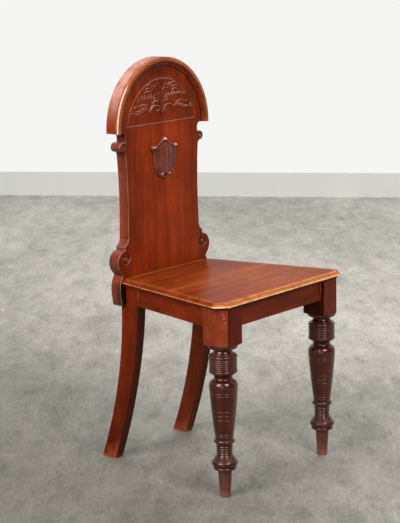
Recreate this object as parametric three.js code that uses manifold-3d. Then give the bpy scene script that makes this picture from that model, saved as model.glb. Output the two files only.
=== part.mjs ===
// Hall chair in polished mahogany, in millimetres.
// X runs to the right as one faces the chair, Y to its back and Z up. Seen so, left is -X.
// The pieces are drawn with Y zero on the axes of the front legs; the whole is then centred over the floor.
import * as THREE from "three";
import { mergeVertices } from "three/addons/utils/BufferGeometryUtils.js";
import Module from "manifold-3d";

const wasm = await Module();
wasm.setup();

// Driving dimensions of the chair
const seatHeight = 440;
const seatFrontWidth = 452;
const seatRearWidth = 312;
const seatDepth = 358;
const hoodEndHeight = 772;
const hoodStilt = 5;
const hoodRadius = 157;

// Fit
const seatGap = 0.3;
const cutOverrun = 2;
const mergeTolerance = 1e-4;

// Seat
const seatThickness = 14;
const seatCornerCut = 25;
const seatRearCornerCut = 7;
const seatFrontOverhang = 9;
const seatSideOverhang = 16;
const seatRearOverhang = 17;
const thumbWidth = 11;
const thumbDrop = 6.6;
const thumbSteps = 4;
const filletDrop = 1.6;
const coveWidth = 7;
const coveSteps = 3;
const frontBoardDepth = 192;
const dowelRadius = 3.5;
const dowelLength = 40;
const dowelSpacing = 110;
const dowelCount = 3;
const dowelHeightShare = 0.45;

// Front legs
const blockWidth = 60;
const blockCant = 12;
const blockBottom = 344;
const shoulderStepRadius = 34;
const shoulderStepDrop = 1.5;
const shoulderMidShare = 0.36;
const shoulderBowShare = 0.6;
const neckHeight = 330.5;
const neckRadius = 19.8;
const barrelTop = 320.5;
const barrelBottom = 281.5;
const barrelRadius = 31.4;
const barrelShoulder = 7;
const reedCount = 8;
const reedDepth = 1.3;
const endReedShare = 1.6;
const reedFlatShares = [0.3, 0.7];
const barrelFilletShare = 0.45;
const lowerNeckHeight = 273.5;
const urnTop = 265;
const urnTopRadius = 24;
const urnHeight = 252.5;
const urnRadius = 31.6;
const taperEndHeight = 134;
const taperEndRadius = 19.6;
const taperBulge = 1.2;
const lineWidth = 2.2;
const lineDepth = 0.8;
const upperLineHeights = [240, 234];
const middleLineHeights = [198.5, 189, 179.5];
const lowerLineHeights = [145.5, 141];
const ringHeight = 127.5;
const ringRadius = 23.3;
const ringHalfHeight = 4.2;
const waistTop = 121.5;
const waistTopRadius = 18.4;
const waistHeight = 104;
const waistRadius = 17.3;
const stepTop = 93;
const stepTopRadius = 19.8;
const stepCount = 3;
const stepDrop = 3.7;
const stepGrowth = 2.5;
const stepGrooveShares = [0.4, 0.75];
const beadHeight = 78;
const beadRadius = 28.8;
const beadHalfHeight = 5.6;
const beadGrooveHeight = 70.4;
const beadGrooveRadius = 25.6;
const beadGrooveShare = 0.9;
const lowerBeadEdgeShare = 0.86;
const lowerBeadHeight = 66.5;
const lowerBeadRadius = 25.4;
const lowerBeadHalfHeight = 3.6;
const footTop = 60.5;
const footTopRadius = 15.6;
const footBottomRadius = 12;
const footRounding = 1.6;
const beadSteps = { ring: 4, low: 4, foot: 5 };
const legSides = 20;
const shoulderSides = 32;

// Rails
const railDepth = 46;
const railThickness = 22;
const frontRailRecess = 8.5;
const sideRailRecess = 9.5;
const sideRailProud = 2;
const tenonThickness = 10;
const tenonLength = 26;
const rearTenonLength = 16;
const tenonShoulder = 7;

// Rear legs
const rearLegThickness = 24.6;
const rearLegDepth = 52;
const rearLegLead = 37.4;
const frontEdgeSweep = 87;
const rearEdgeSweep = 76.4;
const frontSweepShares = [0.06, 0.42];
const rearSweepShares = [-0.03, 0.3];
const sabreHeightShares = [0.72, 0.34];
const sabreSteps = 28;

// Back board
const boardThickness = 29;
const boardArris = 1.6;
const tailDrop = 63.6;
const tailHalfWidth = 152.5;
const tailCorner = 5;
const tailBulge = 5.5;
const notchHalfWidth = 146.5;
const notchRise = 9;
const voluteEyeHalfSpan = 136.5;
const voluteEyeRise = 44;
const voluteRadius = 20;
const voluteOpening = 14.4;
const voluteEyeRadius = 6.4;
const voluteGroove = 1.9;
const voluteTurns = 1.55;
const lowerEarHalfWidth = 137;
const lowerEarHeight = 14;
const waistHalfWidth = 121.7;
const waistStart = 88;
const waistStartHalfWidth = 124.8;
const waistEndHalfWidth = 126;
const upperEarHalfSpan = 134;
const upperEarDrop = 32;
const upperEarRadius = 10.7;
const upperEarEyeRadius = 3.4;
const upperEarFlank = 18;
const neckHalfWidth = 124.4;
const hoodCove = 11;
const voluteStartDegrees = 84;
const voluteEndDegrees = -68;
const voluteOpeningPower = 2.2;
const voluteSteps = 13;
const tailEndDrop = 2;
const tailShares = { firstRise: 0.45, secondRise: 0.84, secondBulge: 1.5 };
const tailSteps = 8;
const lowerEarShares = { firstRise: 0.5, lastRise: 0.9 };
const lowerEarSteps = 6;
const waistBendShares = [0.3, 0.7];
const waistSteps = 10;
const flankShares = { firstOut: 0.12, firstDrop: 1.2, lastIn: 0.3 };
const flankSteps = 4;
const earSteps = 9;
const coveArcSteps = 5;
const tailCornerSteps = 3;
const earGrooveShares = { start: 0.8, end: 1.3 };
const earGroove = 1;
const earTurns = 1;
const spiralStepsPerTurn = 16;
const spiralSides = 5;

// Lunette, a line cut in the head of the board
const lunetteRadius = 118;
const lunetteCentreDrop = 4;
const lunetteRise = 13;
const lunetteLineWidth = 2.4;
const lunetteLineDepth = 1.2;
const lunetteSteps = 28;

// Hood moulding
const hoodWidth = 20;
const hoodProjection = 10;
const hoodSteps = 32;
const pinAcrossShare = 0.38;
const pinSurfaceShare = 0.62;

// Shield
const shieldHalfWidth = 43.5;
const shieldRise = 47.5;
const shieldFall = 47.5;
const shieldCentreDrop = 67.5;
const shieldRelief = 11.5;
const shieldEdge = 6.5;

// Corner blocks
const cornerBlockHeight = 30;
const cornerBlockLeg = 62;
const rearBlockLeg = 46;
const cornerShare = 0.45;
const nearShare = 0.37;

// Screws and pins; a screw passes through one piece and grips the next
const seatScrew = { through: cornerBlockHeight + 2 * seatGap, grip: 8.4, shank: 2.2, head: 4.4, sink: 2.8 };
const boardScrew = { through: boardThickness, grip: 17, shank: 2.6, head: 5.2, sink: 3.2 };
const shieldScrew = { through: boardThickness, grip: 5, shank: 1.9, head: 3.8, sink: 2.4 };
const pinRadius = 0.8;
const pinLength = 20;
const pinHeadDepth = 1.2;
const pinCount = 5;
const screwSides = 8;
const pinSides = 6;
const boardScrewInset = 14;
const railScrewSpacing = 90;

// Places that follow from the sizes
const seatFrontY = -(blockWidth / 2 + seatFrontOverhang);
const seatCornerY = seatFrontY + seatCornerCut;
const boardFaceY = seatFrontY + seatDepth;
const seatUnderside = seatHeight - seatThickness;
const frameTop = seatUnderside - seatGap;
const railBottom = seatUnderside - railDepth;
const frontLegX = seatFrontWidth / 2 - seatSideOverhang - blockWidth / 2;
const rearLegX = seatRearWidth / 2 - seatRearOverhang - rearLegThickness / 2;
const rearLegFrontY = boardFaceY - rearLegLead;
const tailBottom = seatHeight - tailDrop;
const voluteEyeZ = seatHeight + voluteEyeRise;
const hoodCentreZ = hoodEndHeight + hoodStilt;
const upperEarZ = hoodEndHeight - upperEarDrop;
const shieldZ = hoodEndHeight - shieldCentreDrop;
const heelY = rearLegFrontY + rearLegDepth + rearEdgeSweep;

// Finishes
const casing = finish(0x7a2c16, 0.32);
const turned = finish(0x521d14, 0.26);
const seatPolish = finish(0x94482c, 0.24);
const carved = finish(0x4e211a, 0.38);
const blockWood = finish(0xa8865c, 0.8);
const steel = finish(0x8d8a84, 0.42, 0.9);

function finish(color, roughness, metalness = 0) {
  return new THREE.MeshStandardMaterial({ color, roughness, metalness });
}

// Solids from geometries, and back

function solid(geometry) {
  const bare = geometry.clone();
  bare.deleteAttribute("normal");
  bare.deleteAttribute("uv");
  const merged = mergeVertices(bare, mergeTolerance);
  const vertProperties = merged.attributes.position.array;
  const faces = new Uint32Array(merged.index.array);
  const made = new wasm.Manifold(new wasm.Mesh({ numProp: 3, vertProperties, triVerts: faces }));
  if (made.volume() > 0) return made;
  return new wasm.Manifold(new wasm.Mesh({ numProp: 3, vertProperties, triVerts: faces.reverse() }));
}

function geometryOf(made) {
  const { vertProperties, triVerts } = made.getMesh();
  const geometry = new THREE.BufferGeometry();
  geometry.setAttribute("position", new THREE.BufferAttribute(vertProperties, 3));
  geometry.setIndex(new THREE.BufferAttribute(triVerts, 1));
  geometry.computeVertexNormals();
  return geometry;
}

function cut(body, cutters) {
  return cutters.reduce((left, cutter) => left.subtract(cutter), body);
}

// Forms

// An upright prism over a plan outline of [x, y] corners
function prism(corners, bottom, top) {
  const shape = new THREE.Shape(corners.map(([x, y]) => new THREE.Vector2(x, y)));
  const geometry = new THREE.ExtrudeGeometry(shape, { depth: top - bottom, bevelEnabled: false });
  return geometry.translate(0, 0, bottom);
}

// A plate whose outline stands in X and Z, from the front face back
function plate(outline, frontY, thickness, arris = 0) {
  const geometry = new THREE.ExtrudeGeometry(new THREE.Shape(outline), {
    depth: thickness - 2 * arris,
    bevelEnabled: arris > 0,
    bevelThickness: arris,
    bevelSize: arris,
    bevelOffset: -arris,
    bevelSegments: 1,
  });
  return geometry.rotateX(Math.PI / 2).translate(0, frontY + thickness - arris, 0);
}

// A turned piece that stands on the Z axis, from [radius, z] points
function turning(profile, sides) {
  const points = profile.map(([radius, z]) => new THREE.Vector2(radius, z));
  return new THREE.LatheGeometry(points, sides).rotateX(Math.PI / 2);
}

// A closed skin over rings of points, with flat ends cut along the first ring's own outline
function loft(rings, flatOutline) {
  const count = rings[0].length;
  const positions = rings.flat().flatMap((point) => [point.x, point.y, point.z]);
  const index = [];
  for (let ring = 0; ring + 1 < rings.length; ring++) {
    for (let i = 0; i < count; i++) {
      const a = ring * count + i;
      const b = ring * count + ((i + 1) % count);
      index.push(a, b, b + count, a, b + count, a + count);
    }
  }
  const last = (rings.length - 1) * count;
  const clockwise = THREE.ShapeUtils.isClockWise(flatOutline);
  for (const face of THREE.ShapeUtils.triangulateShape(flatOutline, [])) {
    const [a, b, c] = clockwise ? face.reverse() : face;
    index.push(c, b, a, last + a, last + b, last + c);
  }
  const geometry = new THREE.BufferGeometry();
  geometry.setAttribute("position", new THREE.Float32BufferAttribute(positions, 3));
  geometry.setIndex(index);
  return geometry;
}

function arc(centreX, centreY, radius, from, to, steps) {
  const points = [];
  for (let i = 0; i <= steps; i++) {
    const angle = from + ((to - from) * i) / steps;
    points.push(new THREE.Vector2(centreX + radius * Math.cos(angle), centreY + radius * Math.sin(angle)));
  }
  return points;
}

function bezier(from, first, second, to, steps) {
  const corners = [from, first, second, to].map(([x, y]) => new THREE.Vector2(x, y));
  return new THREE.CubicBezierCurve(...corners).getPoints(steps);
}

// Rail plans

// Corner points of a strip that lies between two offsets inside a sloping outer line, cut at two depths
function slopingStrip(outerFront, outerRear, nearOffset, farOffset, frontY, rearY) {
  const along = new THREE.Vector2().subVectors(outerRear, outerFront).normalize();
  const inward = new THREE.Vector2(-along.y, along.x);
  if (inward.x * outerFront.x > 0) inward.negate();
  const at = (offset, y) => {
    const run = y - outerFront.y - inward.y * offset;
    return [outerFront.x + inward.x * offset + (along.x / along.y) * run, y];
  };
  return [at(nearOffset, frontY), at(farOffset, frontY), at(farOffset, rearY), at(nearOffset, rearY)];
}

function sideRailLine(side) {
  const front = new THREE.Vector2(side * (frontLegX + blockWidth / 2 - sideRailRecess), blockWidth / 2);
  const rear = new THREE.Vector2(side * (rearLegX + rearLegThickness / 2 + sideRailProud), rearLegFrontY);
  return { front, rear };
}

function sideRailBody(side) {
  const { front, rear } = sideRailLine(side);
  const frontEnd = blockWidth / 2 + seatGap;
  const strip = slopingStrip(front, rear, 0, railThickness, frontEnd, rearLegFrontY - seatGap);
  return solid(prism(strip, railBottom, frameTop));
}

// The tenons of a side rail, one strip through the rail; grown by a clearance they cut the mortises
function sideRailTenons(side, clearance) {
  const { front, rear } = sideRailLine(side);
  const near = (railThickness - tenonThickness) / 2 - clearance;
  const far = (railThickness + tenonThickness) / 2 + clearance;
  const frontEnd = blockWidth / 2 - tenonLength - clearance;
  const rearEnd = rearLegFrontY + rearTenonLength + clearance;
  const strip = slopingStrip(front, rear, near, far, frontEnd, rearEnd);
  return solid(prism(strip, railBottom + tenonShoulder - clearance, frameTop - tenonShoulder + clearance));
}

function straightRail(halfLength, frontY, reach, thickness, shoulder, clearance = 0) {
  const inset = (railThickness - thickness) / 2;
  const x = halfLength + reach + clearance;
  const near = frontY + inset - clearance;
  const far = frontY + railThickness - inset + clearance;
  const corners = [[-x, near], [x, near], [x, far], [-x, far]];
  return solid(prism(corners, railBottom + shoulder - clearance, frameTop - shoulder + clearance));
}

const frontRailHalf = frontLegX - blockWidth / 2 - seatGap;
const frontRailY = -blockWidth / 2 + frontRailRecess;
const rearRailHalf = rearLegX - rearLegThickness / 2 - seatGap;
const rearRailY = boardFaceY - seatGap - railThickness;

function frontRailTenons(clearance) {
  return straightRail(frontRailHalf, frontRailY, tenonLength, tenonThickness, tenonShoulder, clearance);
}

function rearRailTenons(clearance) {
  return straightRail(rearRailHalf, rearRailY, rearTenonLength, tenonThickness, tenonShoulder, clearance);
}

// Screws, their holes and the pins

function screwProfile(screw, grow) {
  const length = screw.through + screw.grip;
  return [
    [0, -grow],
    [screw.head + grow, -grow],
    [screw.head + grow, 0],
    [screw.shank + grow, screw.sink],
    [screw.shank + grow, length - screw.shank],
    [0, length + grow],
  ];
}

function screwGeometry(screw) {
  const [, , ...rest] = screwProfile(screw, 0);
  return turning([[0, 0], ...rest], screwSides);
}

// A hole for a screw whose head faces down and whose point faces up, with the head's way in below it
function screwHole(screw, wayIn = cutOverrun) {
  const profile = screwProfile(screw, seatGap);
  profile[0][1] = -wayIn;
  profile[1][1] = -wayIn;
  return turning(profile, screwSides);
}

const facingFront = (geometry) => geometry.rotateX(Math.PI / 2);
const rearFaceY = boardFaceY + boardThickness;

const backScrewPlaces = [];
for (const side of [-1, 1]) {
  for (const z of [tailBottom + boardScrewInset, seatUnderside - boardScrewInset]) {
    backScrewPlaces.push([side * rearLegX, z]);
  }
  backScrewPlaces.push([(side * railScrewSpacing) / 2, (railBottom + frameTop) / 2]);
}

function backScrewHoles() {
  return backScrewPlaces.map(([x, z]) => {
    return solid(facingFront(screwHole(boardScrew)).translate(x, rearFaceY, z));
  });
}

const pinPlaces = [];
const pinCircle = hoodRadius - hoodWidth * (1 - pinAcrossShare);
for (let i = 0; i < pinCount; i++) {
  const angle = (Math.PI * (i + 0.5)) / pinCount;
  pinPlaces.push([pinCircle * Math.cos(angle), hoodCentreZ + pinCircle * Math.sin(angle)]);
}

function pinGeometry() {
  const profile = [[0, 0], [pinRadius, 0], [pinRadius, pinLength - pinRadius], [0, pinLength]];
  return turning(profile, pinSides).rotateX(-Math.PI / 2);
}

const pinFrontY = boardFaceY - hoodProjection * pinSurfaceShare + pinHeadDepth;

// Holes for the pins, open at the front where each was driven in
function pinHoles() {
  const radius = pinRadius + seatGap;
  const end = pinLength + seatGap;
  const profile = [[0, -hoodProjection], [radius, -hoodProjection], [radius, end], [0, end]];
  return pinPlaces.map(([x, z]) => {
    return solid(turning(profile, pinSides).rotateX(-Math.PI / 2).translate(x, pinFrontY, z));
  });
}

// Seat

// The plan of the seat's widest edge, with how far each edge's moulding is set in
function seatPlan() {
  const rearY = boardFaceY - seatGap;
  const frontHalf = seatFrontWidth / 2;
  const rearHalf = seatRearWidth / 2;
  return [
    [rearHalf - seatRearCornerCut, rearY, 1],
    [-(rearHalf - seatRearCornerCut), rearY, 0],
    [-rearHalf, rearY - seatRearCornerCut, 1],
    [-frontHalf, seatCornerY, 1],
    [-(frontHalf - seatCornerCut), seatFrontY, 1],
    [frontHalf - seatCornerCut, seatFrontY, 1],
    [frontHalf, seatCornerY, 1],
    [rearHalf, rearY - seatRearCornerCut, 1],
  ];
}

// The plan drawn in by an inset on every edge but the rear one; each point begins the edge before it
function insetPlan(plan, inset) {
  const lines = plan.map(([x, y], i) => {
    const [nextX, nextY, moulded] = plan[(i + 1) % plan.length];
    const along = new THREE.Vector2(nextX - x, nextY - y).normalize();
    const inward = new THREE.Vector2(-along.y, along.x);
    const distance = inward.x * x + inward.y * y + inset * moulded;
    return { inward, distance };
  });
  return lines.map((line, i) => {
    const before = lines[(i + lines.length - 1) % lines.length];
    const cross = before.inward.x * line.inward.y - before.inward.y * line.inward.x;
    const x = (before.distance * line.inward.y - line.distance * before.inward.y) / cross;
    const y = (line.distance * before.inward.x - before.distance * line.inward.x) / cross;
    return new THREE.Vector2(x, y);
  });
}

// The edge moulding from the underside up: a cove, a fillet and a flat thumb
function seatEdge() {
  const edge = [];
  const filletBottom = seatHeight - thumbDrop - filletDrop;
  for (let i = 0; i <= coveSteps; i++) {
    const angle = (Math.PI / 2) * (i / coveSteps);
    const rise = (filletBottom - seatUnderside) * Math.sin(angle);
    edge.push([coveWidth * Math.cos(angle), seatUnderside + rise]);
  }
  for (let i = 0; i <= thumbSteps; i++) {
    const angle = (Math.PI / 2) * (i / thumbSteps);
    edge.push([thumbWidth * (1 - Math.cos(angle)), seatHeight - thumbDrop * (1 - Math.sin(angle))]);
  }
  return edge;
}

function seatSolid() {
  const plan = seatPlan();
  const rings = seatEdge().map(([inset, z]) => {
    return insetPlan(plan, inset).map(({ x, y }) => new THREE.Vector3(x, y, z));
  });
  const outline = rings[0].map(({ x, y }) => new THREE.Vector2(x, y));
  return solid(loft(rings, outline));
}

const seatJointY = seatFrontY + frontBoardDepth;
const dowelZ = seatUnderside + seatThickness * dowelHeightShare;

function dowelGeometry(grow = 0) {
  const half = dowelLength / 2 + grow;
  const radius = dowelRadius + grow;
  const profile = [[0, -half], [radius, -half], [radius, half], [0, half]];
  return turning(profile, screwSides).rotateX(Math.PI / 2);
}

const dowelPlaces = [];
for (let i = 0; i < dowelCount; i++) {
  dowelPlaces.push((i - (dowelCount - 1) / 2) * dowelSpacing);
}

// A box over the whole width of the seat, between two depths
function seatSlab(nearY, farY) {
  const wide = seatFrontWidth;
  const corners = [[-wide, nearY], [wide, nearY], [wide, farY], [-wide, farY]];
  return solid(prism(corners, seatUnderside - cutOverrun, seatHeight + cutOverrun));
}

function seatScrewHoles(places) {
  return places.map(([x, y]) => solid(screwHole(seatScrew).translate(x, y, cornerBlockBottom)));
}

function seatBoards() {
  const dowels = dowelPlaces.map((x) => solid(dowelGeometry(seatGap).translate(x, seatJointY, dowelZ)));
  const whole = cut(seatSolid(), [...dowels, ...seatScrewHoles(seatScrewPlaces)]);
  return {
    front: whole.intersect(seatSlab(seatFrontY - cutOverrun, seatJointY - seatGap / 2)),
    rear: whole.intersect(seatSlab(seatJointY + seatGap / 2, boardFaceY + cutOverrun)),
  };
}

// Corner blocks, cut round the inner corner of each leg and glued to both rails

const cornerBlockTop = frameTop - seatGap;
const cornerBlockBottom = cornerBlockTop - cornerBlockHeight;

function innerRailX(side, y) {
  const { front, rear } = sideRailLine(side);
  const strip = slopingStrip(front, rear, railThickness + seatGap, railThickness + seatGap, y, y);
  return strip[0][0];
}

function frontBlockPlan(side) {
  const railY = frontRailY + railThickness + seatGap;
  const legX = side * (frontLegX - blockWidth / 2 - seatGap);
  const legY = blockWidth / 2 + seatGap;
  const farY = legY + cornerBlockLeg;
  return [
    [legX - side * cornerBlockLeg, railY],
    [legX, railY],
    [legX, legY],
    [innerRailX(side, legY), legY],
    [innerRailX(side, farY), farY],
  ];
}

function rearBlockPlan(side) {
  const railY = rearRailY - seatGap;
  const legX = side * (rearLegX - rearLegThickness / 2 - seatGap);
  const legY = rearLegFrontY - seatGap;
  const nearY = legY - rearBlockLeg;
  return [
    [legX - side * rearBlockLeg, railY],
    [legX, railY],
    [legX, legY],
    [innerRailX(side, legY), legY],
    [innerRailX(side, nearY), nearY],
  ];
}

// Two screws stand in each block, between its inner corner and the ends of its long side
function screwsOfBlock(plan) {
  const [first, , corner, , last] = plan;
  const between = (near, far) => [0, 1].map((axis) => {
    return corner[axis] * cornerShare + near[axis] * nearShare + far[axis] * (1 - cornerShare - nearShare);
  });
  return [between(first, last), between(last, first)];
}

const blockPlans = {
  front_left_corner_block: frontBlockPlan(-1),
  front_right_corner_block: frontBlockPlan(1),
  rear_left_corner_block: rearBlockPlan(-1),
  rear_right_corner_block: rearBlockPlan(1),
};
const seatScrewPlaces = Object.values(blockPlans).flatMap(screwsOfBlock);

function cornerBlock(plan) {
  return cut(solid(prism(plan, cornerBlockBottom, cornerBlockTop)), seatScrewHoles(screwsOfBlock(plan)));
}

// Front legs

// A turned bead between two heights, bulging to its full radius
function bead(height, halfHeight, edgeRadius, radius, steps) {
  const points = [];
  for (let i = 0; i <= steps; i++) {
    const angle = -Math.PI / 2 + (Math.PI * i) / steps;
    const bulge = (radius - edgeRadius) * Math.cos(angle);
    points.push([edgeRadius + bulge, height + halfHeight * Math.sin(angle)]);
  }
  return points;
}

// The long taper of the leg, which swells a little between its ends
function taperRadius(z) {
  const share = (z - taperEndHeight) / (urnHeight - taperEndHeight);
  return taperEndRadius + (urnRadius - taperEndRadius) * share + taperBulge * Math.sin(Math.PI * share);
}

function incisedLines(heights) {
  return [...heights].sort((a, b) => a - b).flatMap((z) => [
    [taperRadius(z - lineWidth / 2), z - lineWidth / 2],
    [taperRadius(z) - lineDepth, z],
    [taperRadius(z + lineWidth / 2), z + lineWidth / 2],
  ]);
}

function footAndBeads() {
  const lowerBeadEdge = beadGrooveRadius * lowerBeadEdgeShare;
  const points = [
    [0, 0],
    [footBottomRadius - footRounding, 0],
    [footBottomRadius, footRounding],
    [footTopRadius, footTop],
    ...bead(lowerBeadHeight, lowerBeadHalfHeight, lowerBeadEdge, lowerBeadRadius, beadSteps.low),
    [beadGrooveRadius * beadGrooveShare, beadGrooveHeight],
    ...bead(beadHeight, beadHalfHeight, beadGrooveRadius, beadRadius, beadSteps.foot),
  ];
  const [outShare, downShare] = stepGrooveShares;
  for (let i = stepCount - 1; i >= 0; i--) {
    const radius = stepTopRadius + stepGrowth * i;
    const top = stepTop - stepDrop * i;
    points.push([radius + stepGrowth * outShare, top - stepDrop * downShare], [radius, top]);
  }
  return points;
}

function waistAndRing() {
  return [
    [waistRadius, waistHeight],
    [waistTopRadius, waistTop],
    ...bead(ringHeight, ringHalfHeight, waistTopRadius, ringRadius, beadSteps.ring).slice(1),
  ];
}

// The urn's shoulder, as [share of its swell over the neck above, share of its rise to the top]
const urnShoulderShares = [
  [1, 0],
  [0.86, 0.42],
  [0.5, 0.78],
  [0, 1],
];

function urn() {
  const shoulder = urnShoulderShares.map(([swell, rise]) => {
    return [urnTopRadius + (urnRadius - urnTopRadius) * swell, urnHeight + (urnTop - urnHeight) * rise];
  });
  return [
    [taperEndRadius, taperEndHeight],
    ...incisedLines(lowerLineHeights),
    ...incisedLines(middleLineHeights),
    ...incisedLines(upperLineHeights),
    ...shoulder,
    [neckRadius, lowerNeckHeight],
  ];
}

// The barrel between the necks, with its row of reeds
function barrel() {
  const pitch = (barrelTop - barrelBottom) / reedCount;
  const fillet = pitch * barrelFilletShare;
  const edge = barrelRadius - barrelShoulder;
  const points = [[edge, barrelBottom - fillet]];
  for (let i = 0; i < reedCount; i++) {
    const atEnd = i === 0 || i === reedCount - 1;
    const radius = barrelRadius - (atEnd ? reedDepth * endReedShare : 0);
    const bottom = barrelBottom + pitch * i;
    const flat = reedFlatShares.map((share) => [radius, bottom + pitch * share]);
    points.push([radius - reedDepth, bottom], ...flat);
  }
  return [...points, [edge, barrelTop + fillet], [neckRadius, neckHeight]];
}

function legTurning() {
  const top = [[neckRadius, blockBottom], [0, blockBottom]];
  return turning([...footAndBeads(), ...waistAndRing(), ...urn(), ...barrel(), ...top], legSides);
}

// The turned shoulder that rounds the lower end of the block into the neck
function shoulderTurning() {
  const cornerRadius = blockWidth * Math.SQRT1_2 + cutOverrun;
  const stepHeight = blockBottom - shoulderStepDrop;
  const midRadius = neckRadius + (shoulderStepRadius - neckRadius) * shoulderMidShare;
  const midHeight = neckHeight + (stepHeight - neckHeight) * shoulderMidShare;
  const bow = shoulderStepDrop * shoulderBowShare;
  const profile = [
    [0, neckHeight],
    [neckRadius, neckHeight],
    [midRadius - bow, midHeight + bow],
    [shoulderStepRadius, stepHeight],
    [cornerRadius, blockBottom],
    [cornerRadius, frameTop + cutOverrun],
    [0, frameTop + cutOverrun],
  ];
  return turning(profile, shoulderSides);
}

function frontLeg(side) {
  const half = blockWidth / 2;
  const corners = [
    [-half * side, half],
    [half * side, half],
    [half * side, -half + blockCant],
    [(half - blockCant) * side, -half],
    [-half * side, -half],
  ];
  const block = solid(prism(corners, neckHeight, frameTop)).intersect(solid(shoulderTurning()));
  const shift = [-side * frontLegX, 0, 0];
  const tenons = [sideRailTenons(side, seatGap), frontRailTenons(seatGap)];
  return cut(block.add(solid(legTurning())), tenons.map((made) => moved(made, shift)));
}

// A solid carried from the chair's frame into that of a piece
function moved(made, [x, y, z]) {
  return solid(geometryOf(made).translate(x, y, z));
}

// Rear legs

// One edge of a sabre leg, from its top down to the floor
function sabreEdge(topY, topZ, sweep, sweepShares) {
  const bends = sweepShares.map((share, i) => [topY + sweep * share, railBottom * sabreHeightShares[i]]);
  return bezier([topY, topZ], ...bends, [topY + sweep, 0], sabreSteps);
}

function rearLegOutline() {
  const shelf = tailBottom - seatGap;
  const front = sabreEdge(rearLegFrontY, railBottom, frontEdgeSweep, frontSweepShares);
  const rear = sabreEdge(rearLegFrontY + rearLegDepth, shelf, rearEdgeSweep, rearSweepShares);
  const notchFace = boardFaceY - seatGap;
  return [
    new THREE.Vector2(rearLegFrontY, frameTop),
    ...front,
    ...rear.reverse(),
    new THREE.Vector2(notchFace, shelf),
    new THREE.Vector2(notchFace, frameTop),
  ];
}

function rearLeg(side) {
  const geometry = new THREE.ExtrudeGeometry(new THREE.Shape(rearLegOutline()), {
    depth: rearLegThickness,
    bevelEnabled: false,
  });
  const upright = new THREE.Matrix4().makeBasis(
    new THREE.Vector3(0, 1, 0),
    new THREE.Vector3(0, 0, 1),
    new THREE.Vector3(1, 0, 0),
  );
  geometry.applyMatrix4(upright).translate(-rearLegThickness / 2, 0, 0);
  const shift = [-side * rearLegX, 0, 0];
  const cutters = [sideRailTenons(side, seatGap), rearRailTenons(seatGap), ...backScrewHoles()];
  return cut(solid(geometry), cutters.map((made) => moved(made, shift)));
}

// Back board

// The scroll's edge: a circle at the top that opens out as it unwinds towards the tail
function voluteEdge() {
  const top = THREE.MathUtils.degToRad(voluteStartDegrees);
  const bottom = THREE.MathUtils.degToRad(voluteEndDegrees);
  const points = [];
  for (let i = 0; i <= voluteSteps; i++) {
    const share = 1 - i / voluteSteps;
    const angle = top + (bottom - top) * share;
    const radius = voluteRadius + voluteOpening * share ** voluteOpeningPower;
    const x = voluteEyeHalfSpan + radius * Math.cos(angle);
    points.push(new THREE.Vector2(x, voluteEyeZ + radius * Math.sin(angle)));
  }
  return points;
}

// Right-hand edge of the board from the tail up to the springing of its round head
function boardSide() {
  const { firstRise, secondRise, secondBulge } = tailShares;
  const tail = bezier(
    [tailHalfWidth, tailBottom + tailCorner],
    [tailHalfWidth + tailBulge, tailBottom + tailDrop * firstRise],
    [tailHalfWidth + tailBulge * secondBulge, tailBottom + tailDrop * secondRise],
    [notchHalfWidth, seatHeight + notchRise - tailEndDrop],
    tailSteps,
  );
  const earBottom = voluteEyeZ + voluteRadius;
  const waistStartZ = seatHeight + waistStart;
  const lowerEar = bezier(
    [lowerEarHalfWidth, earBottom + lowerEarHeight * lowerEarShares.firstRise],
    [lowerEarHalfWidth, earBottom + lowerEarHeight],
    [waistStartHalfWidth, earBottom + lowerEarHeight * lowerEarShares.lastRise],
    [waistStartHalfWidth, waistStartZ],
    lowerEarSteps,
  );
  const waistEndZ = upperEarZ - upperEarFlank;
  // The bends of a cubic curve that is at the waist's width half way up
  const bowHalfWidth = (waistHalfWidth * 8 - waistStartHalfWidth - waistEndHalfWidth) / 6;
  const waistLength = waistEndZ - waistStartZ;
  const waistBends = waistBendShares.map((share) => [bowHalfWidth, waistStartZ + waistLength * share]);
  const waist = bezier(
    [waistStartHalfWidth, waistStartZ],
    ...waistBends,
    [waistEndHalfWidth, waistEndZ],
    waistSteps,
  );
  const { firstOut, firstDrop, lastIn } = flankShares;
  const flank = bezier(
    [waistEndHalfWidth, waistEndZ],
    [waistEndHalfWidth + upperEarRadius * firstOut, upperEarZ - upperEarRadius * firstDrop],
    [upperEarHalfSpan - upperEarRadius * lastIn, upperEarZ - upperEarRadius],
    [upperEarHalfSpan, upperEarZ - upperEarRadius],
    flankSteps,
  );
  const earCurl = arc(upperEarHalfSpan, upperEarZ, upperEarRadius, -Math.PI / 2, Math.PI / 2, earSteps);
  const coveX = neckHalfWidth + hoodCove;
  const cove = arc(coveX, hoodEndHeight - hoodCove, hoodCove, Math.PI, Math.PI / 2, coveArcSteps);
  const cornerX = tailHalfWidth - tailCorner;
  const corner = arc(cornerX, tailBottom + tailCorner, tailCorner, -Math.PI / 2, 0, tailCornerSteps);
  return [
    ...corner.slice(0, -1),
    ...tail,
    ...voluteEdge(),
    new THREE.Vector2(lowerEarHalfWidth, earBottom),
    ...lowerEar,
    ...waist.slice(1),
    ...flank.slice(1),
    ...earCurl.slice(1),
    new THREE.Vector2(neckHalfWidth, upperEarZ + upperEarRadius),
    ...cove,
  ];
}

function boardOutline() {
  const side = [...boardSide(), new THREE.Vector2(hoodRadius, hoodEndHeight)];
  const head = arc(0, hoodCentreZ, hoodRadius, 0, Math.PI, hoodSteps);
  const mirrored = side.map(({ x, y }) => new THREE.Vector2(-x, y)).reverse();
  return [...side, ...head, ...mirrored];
}

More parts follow.
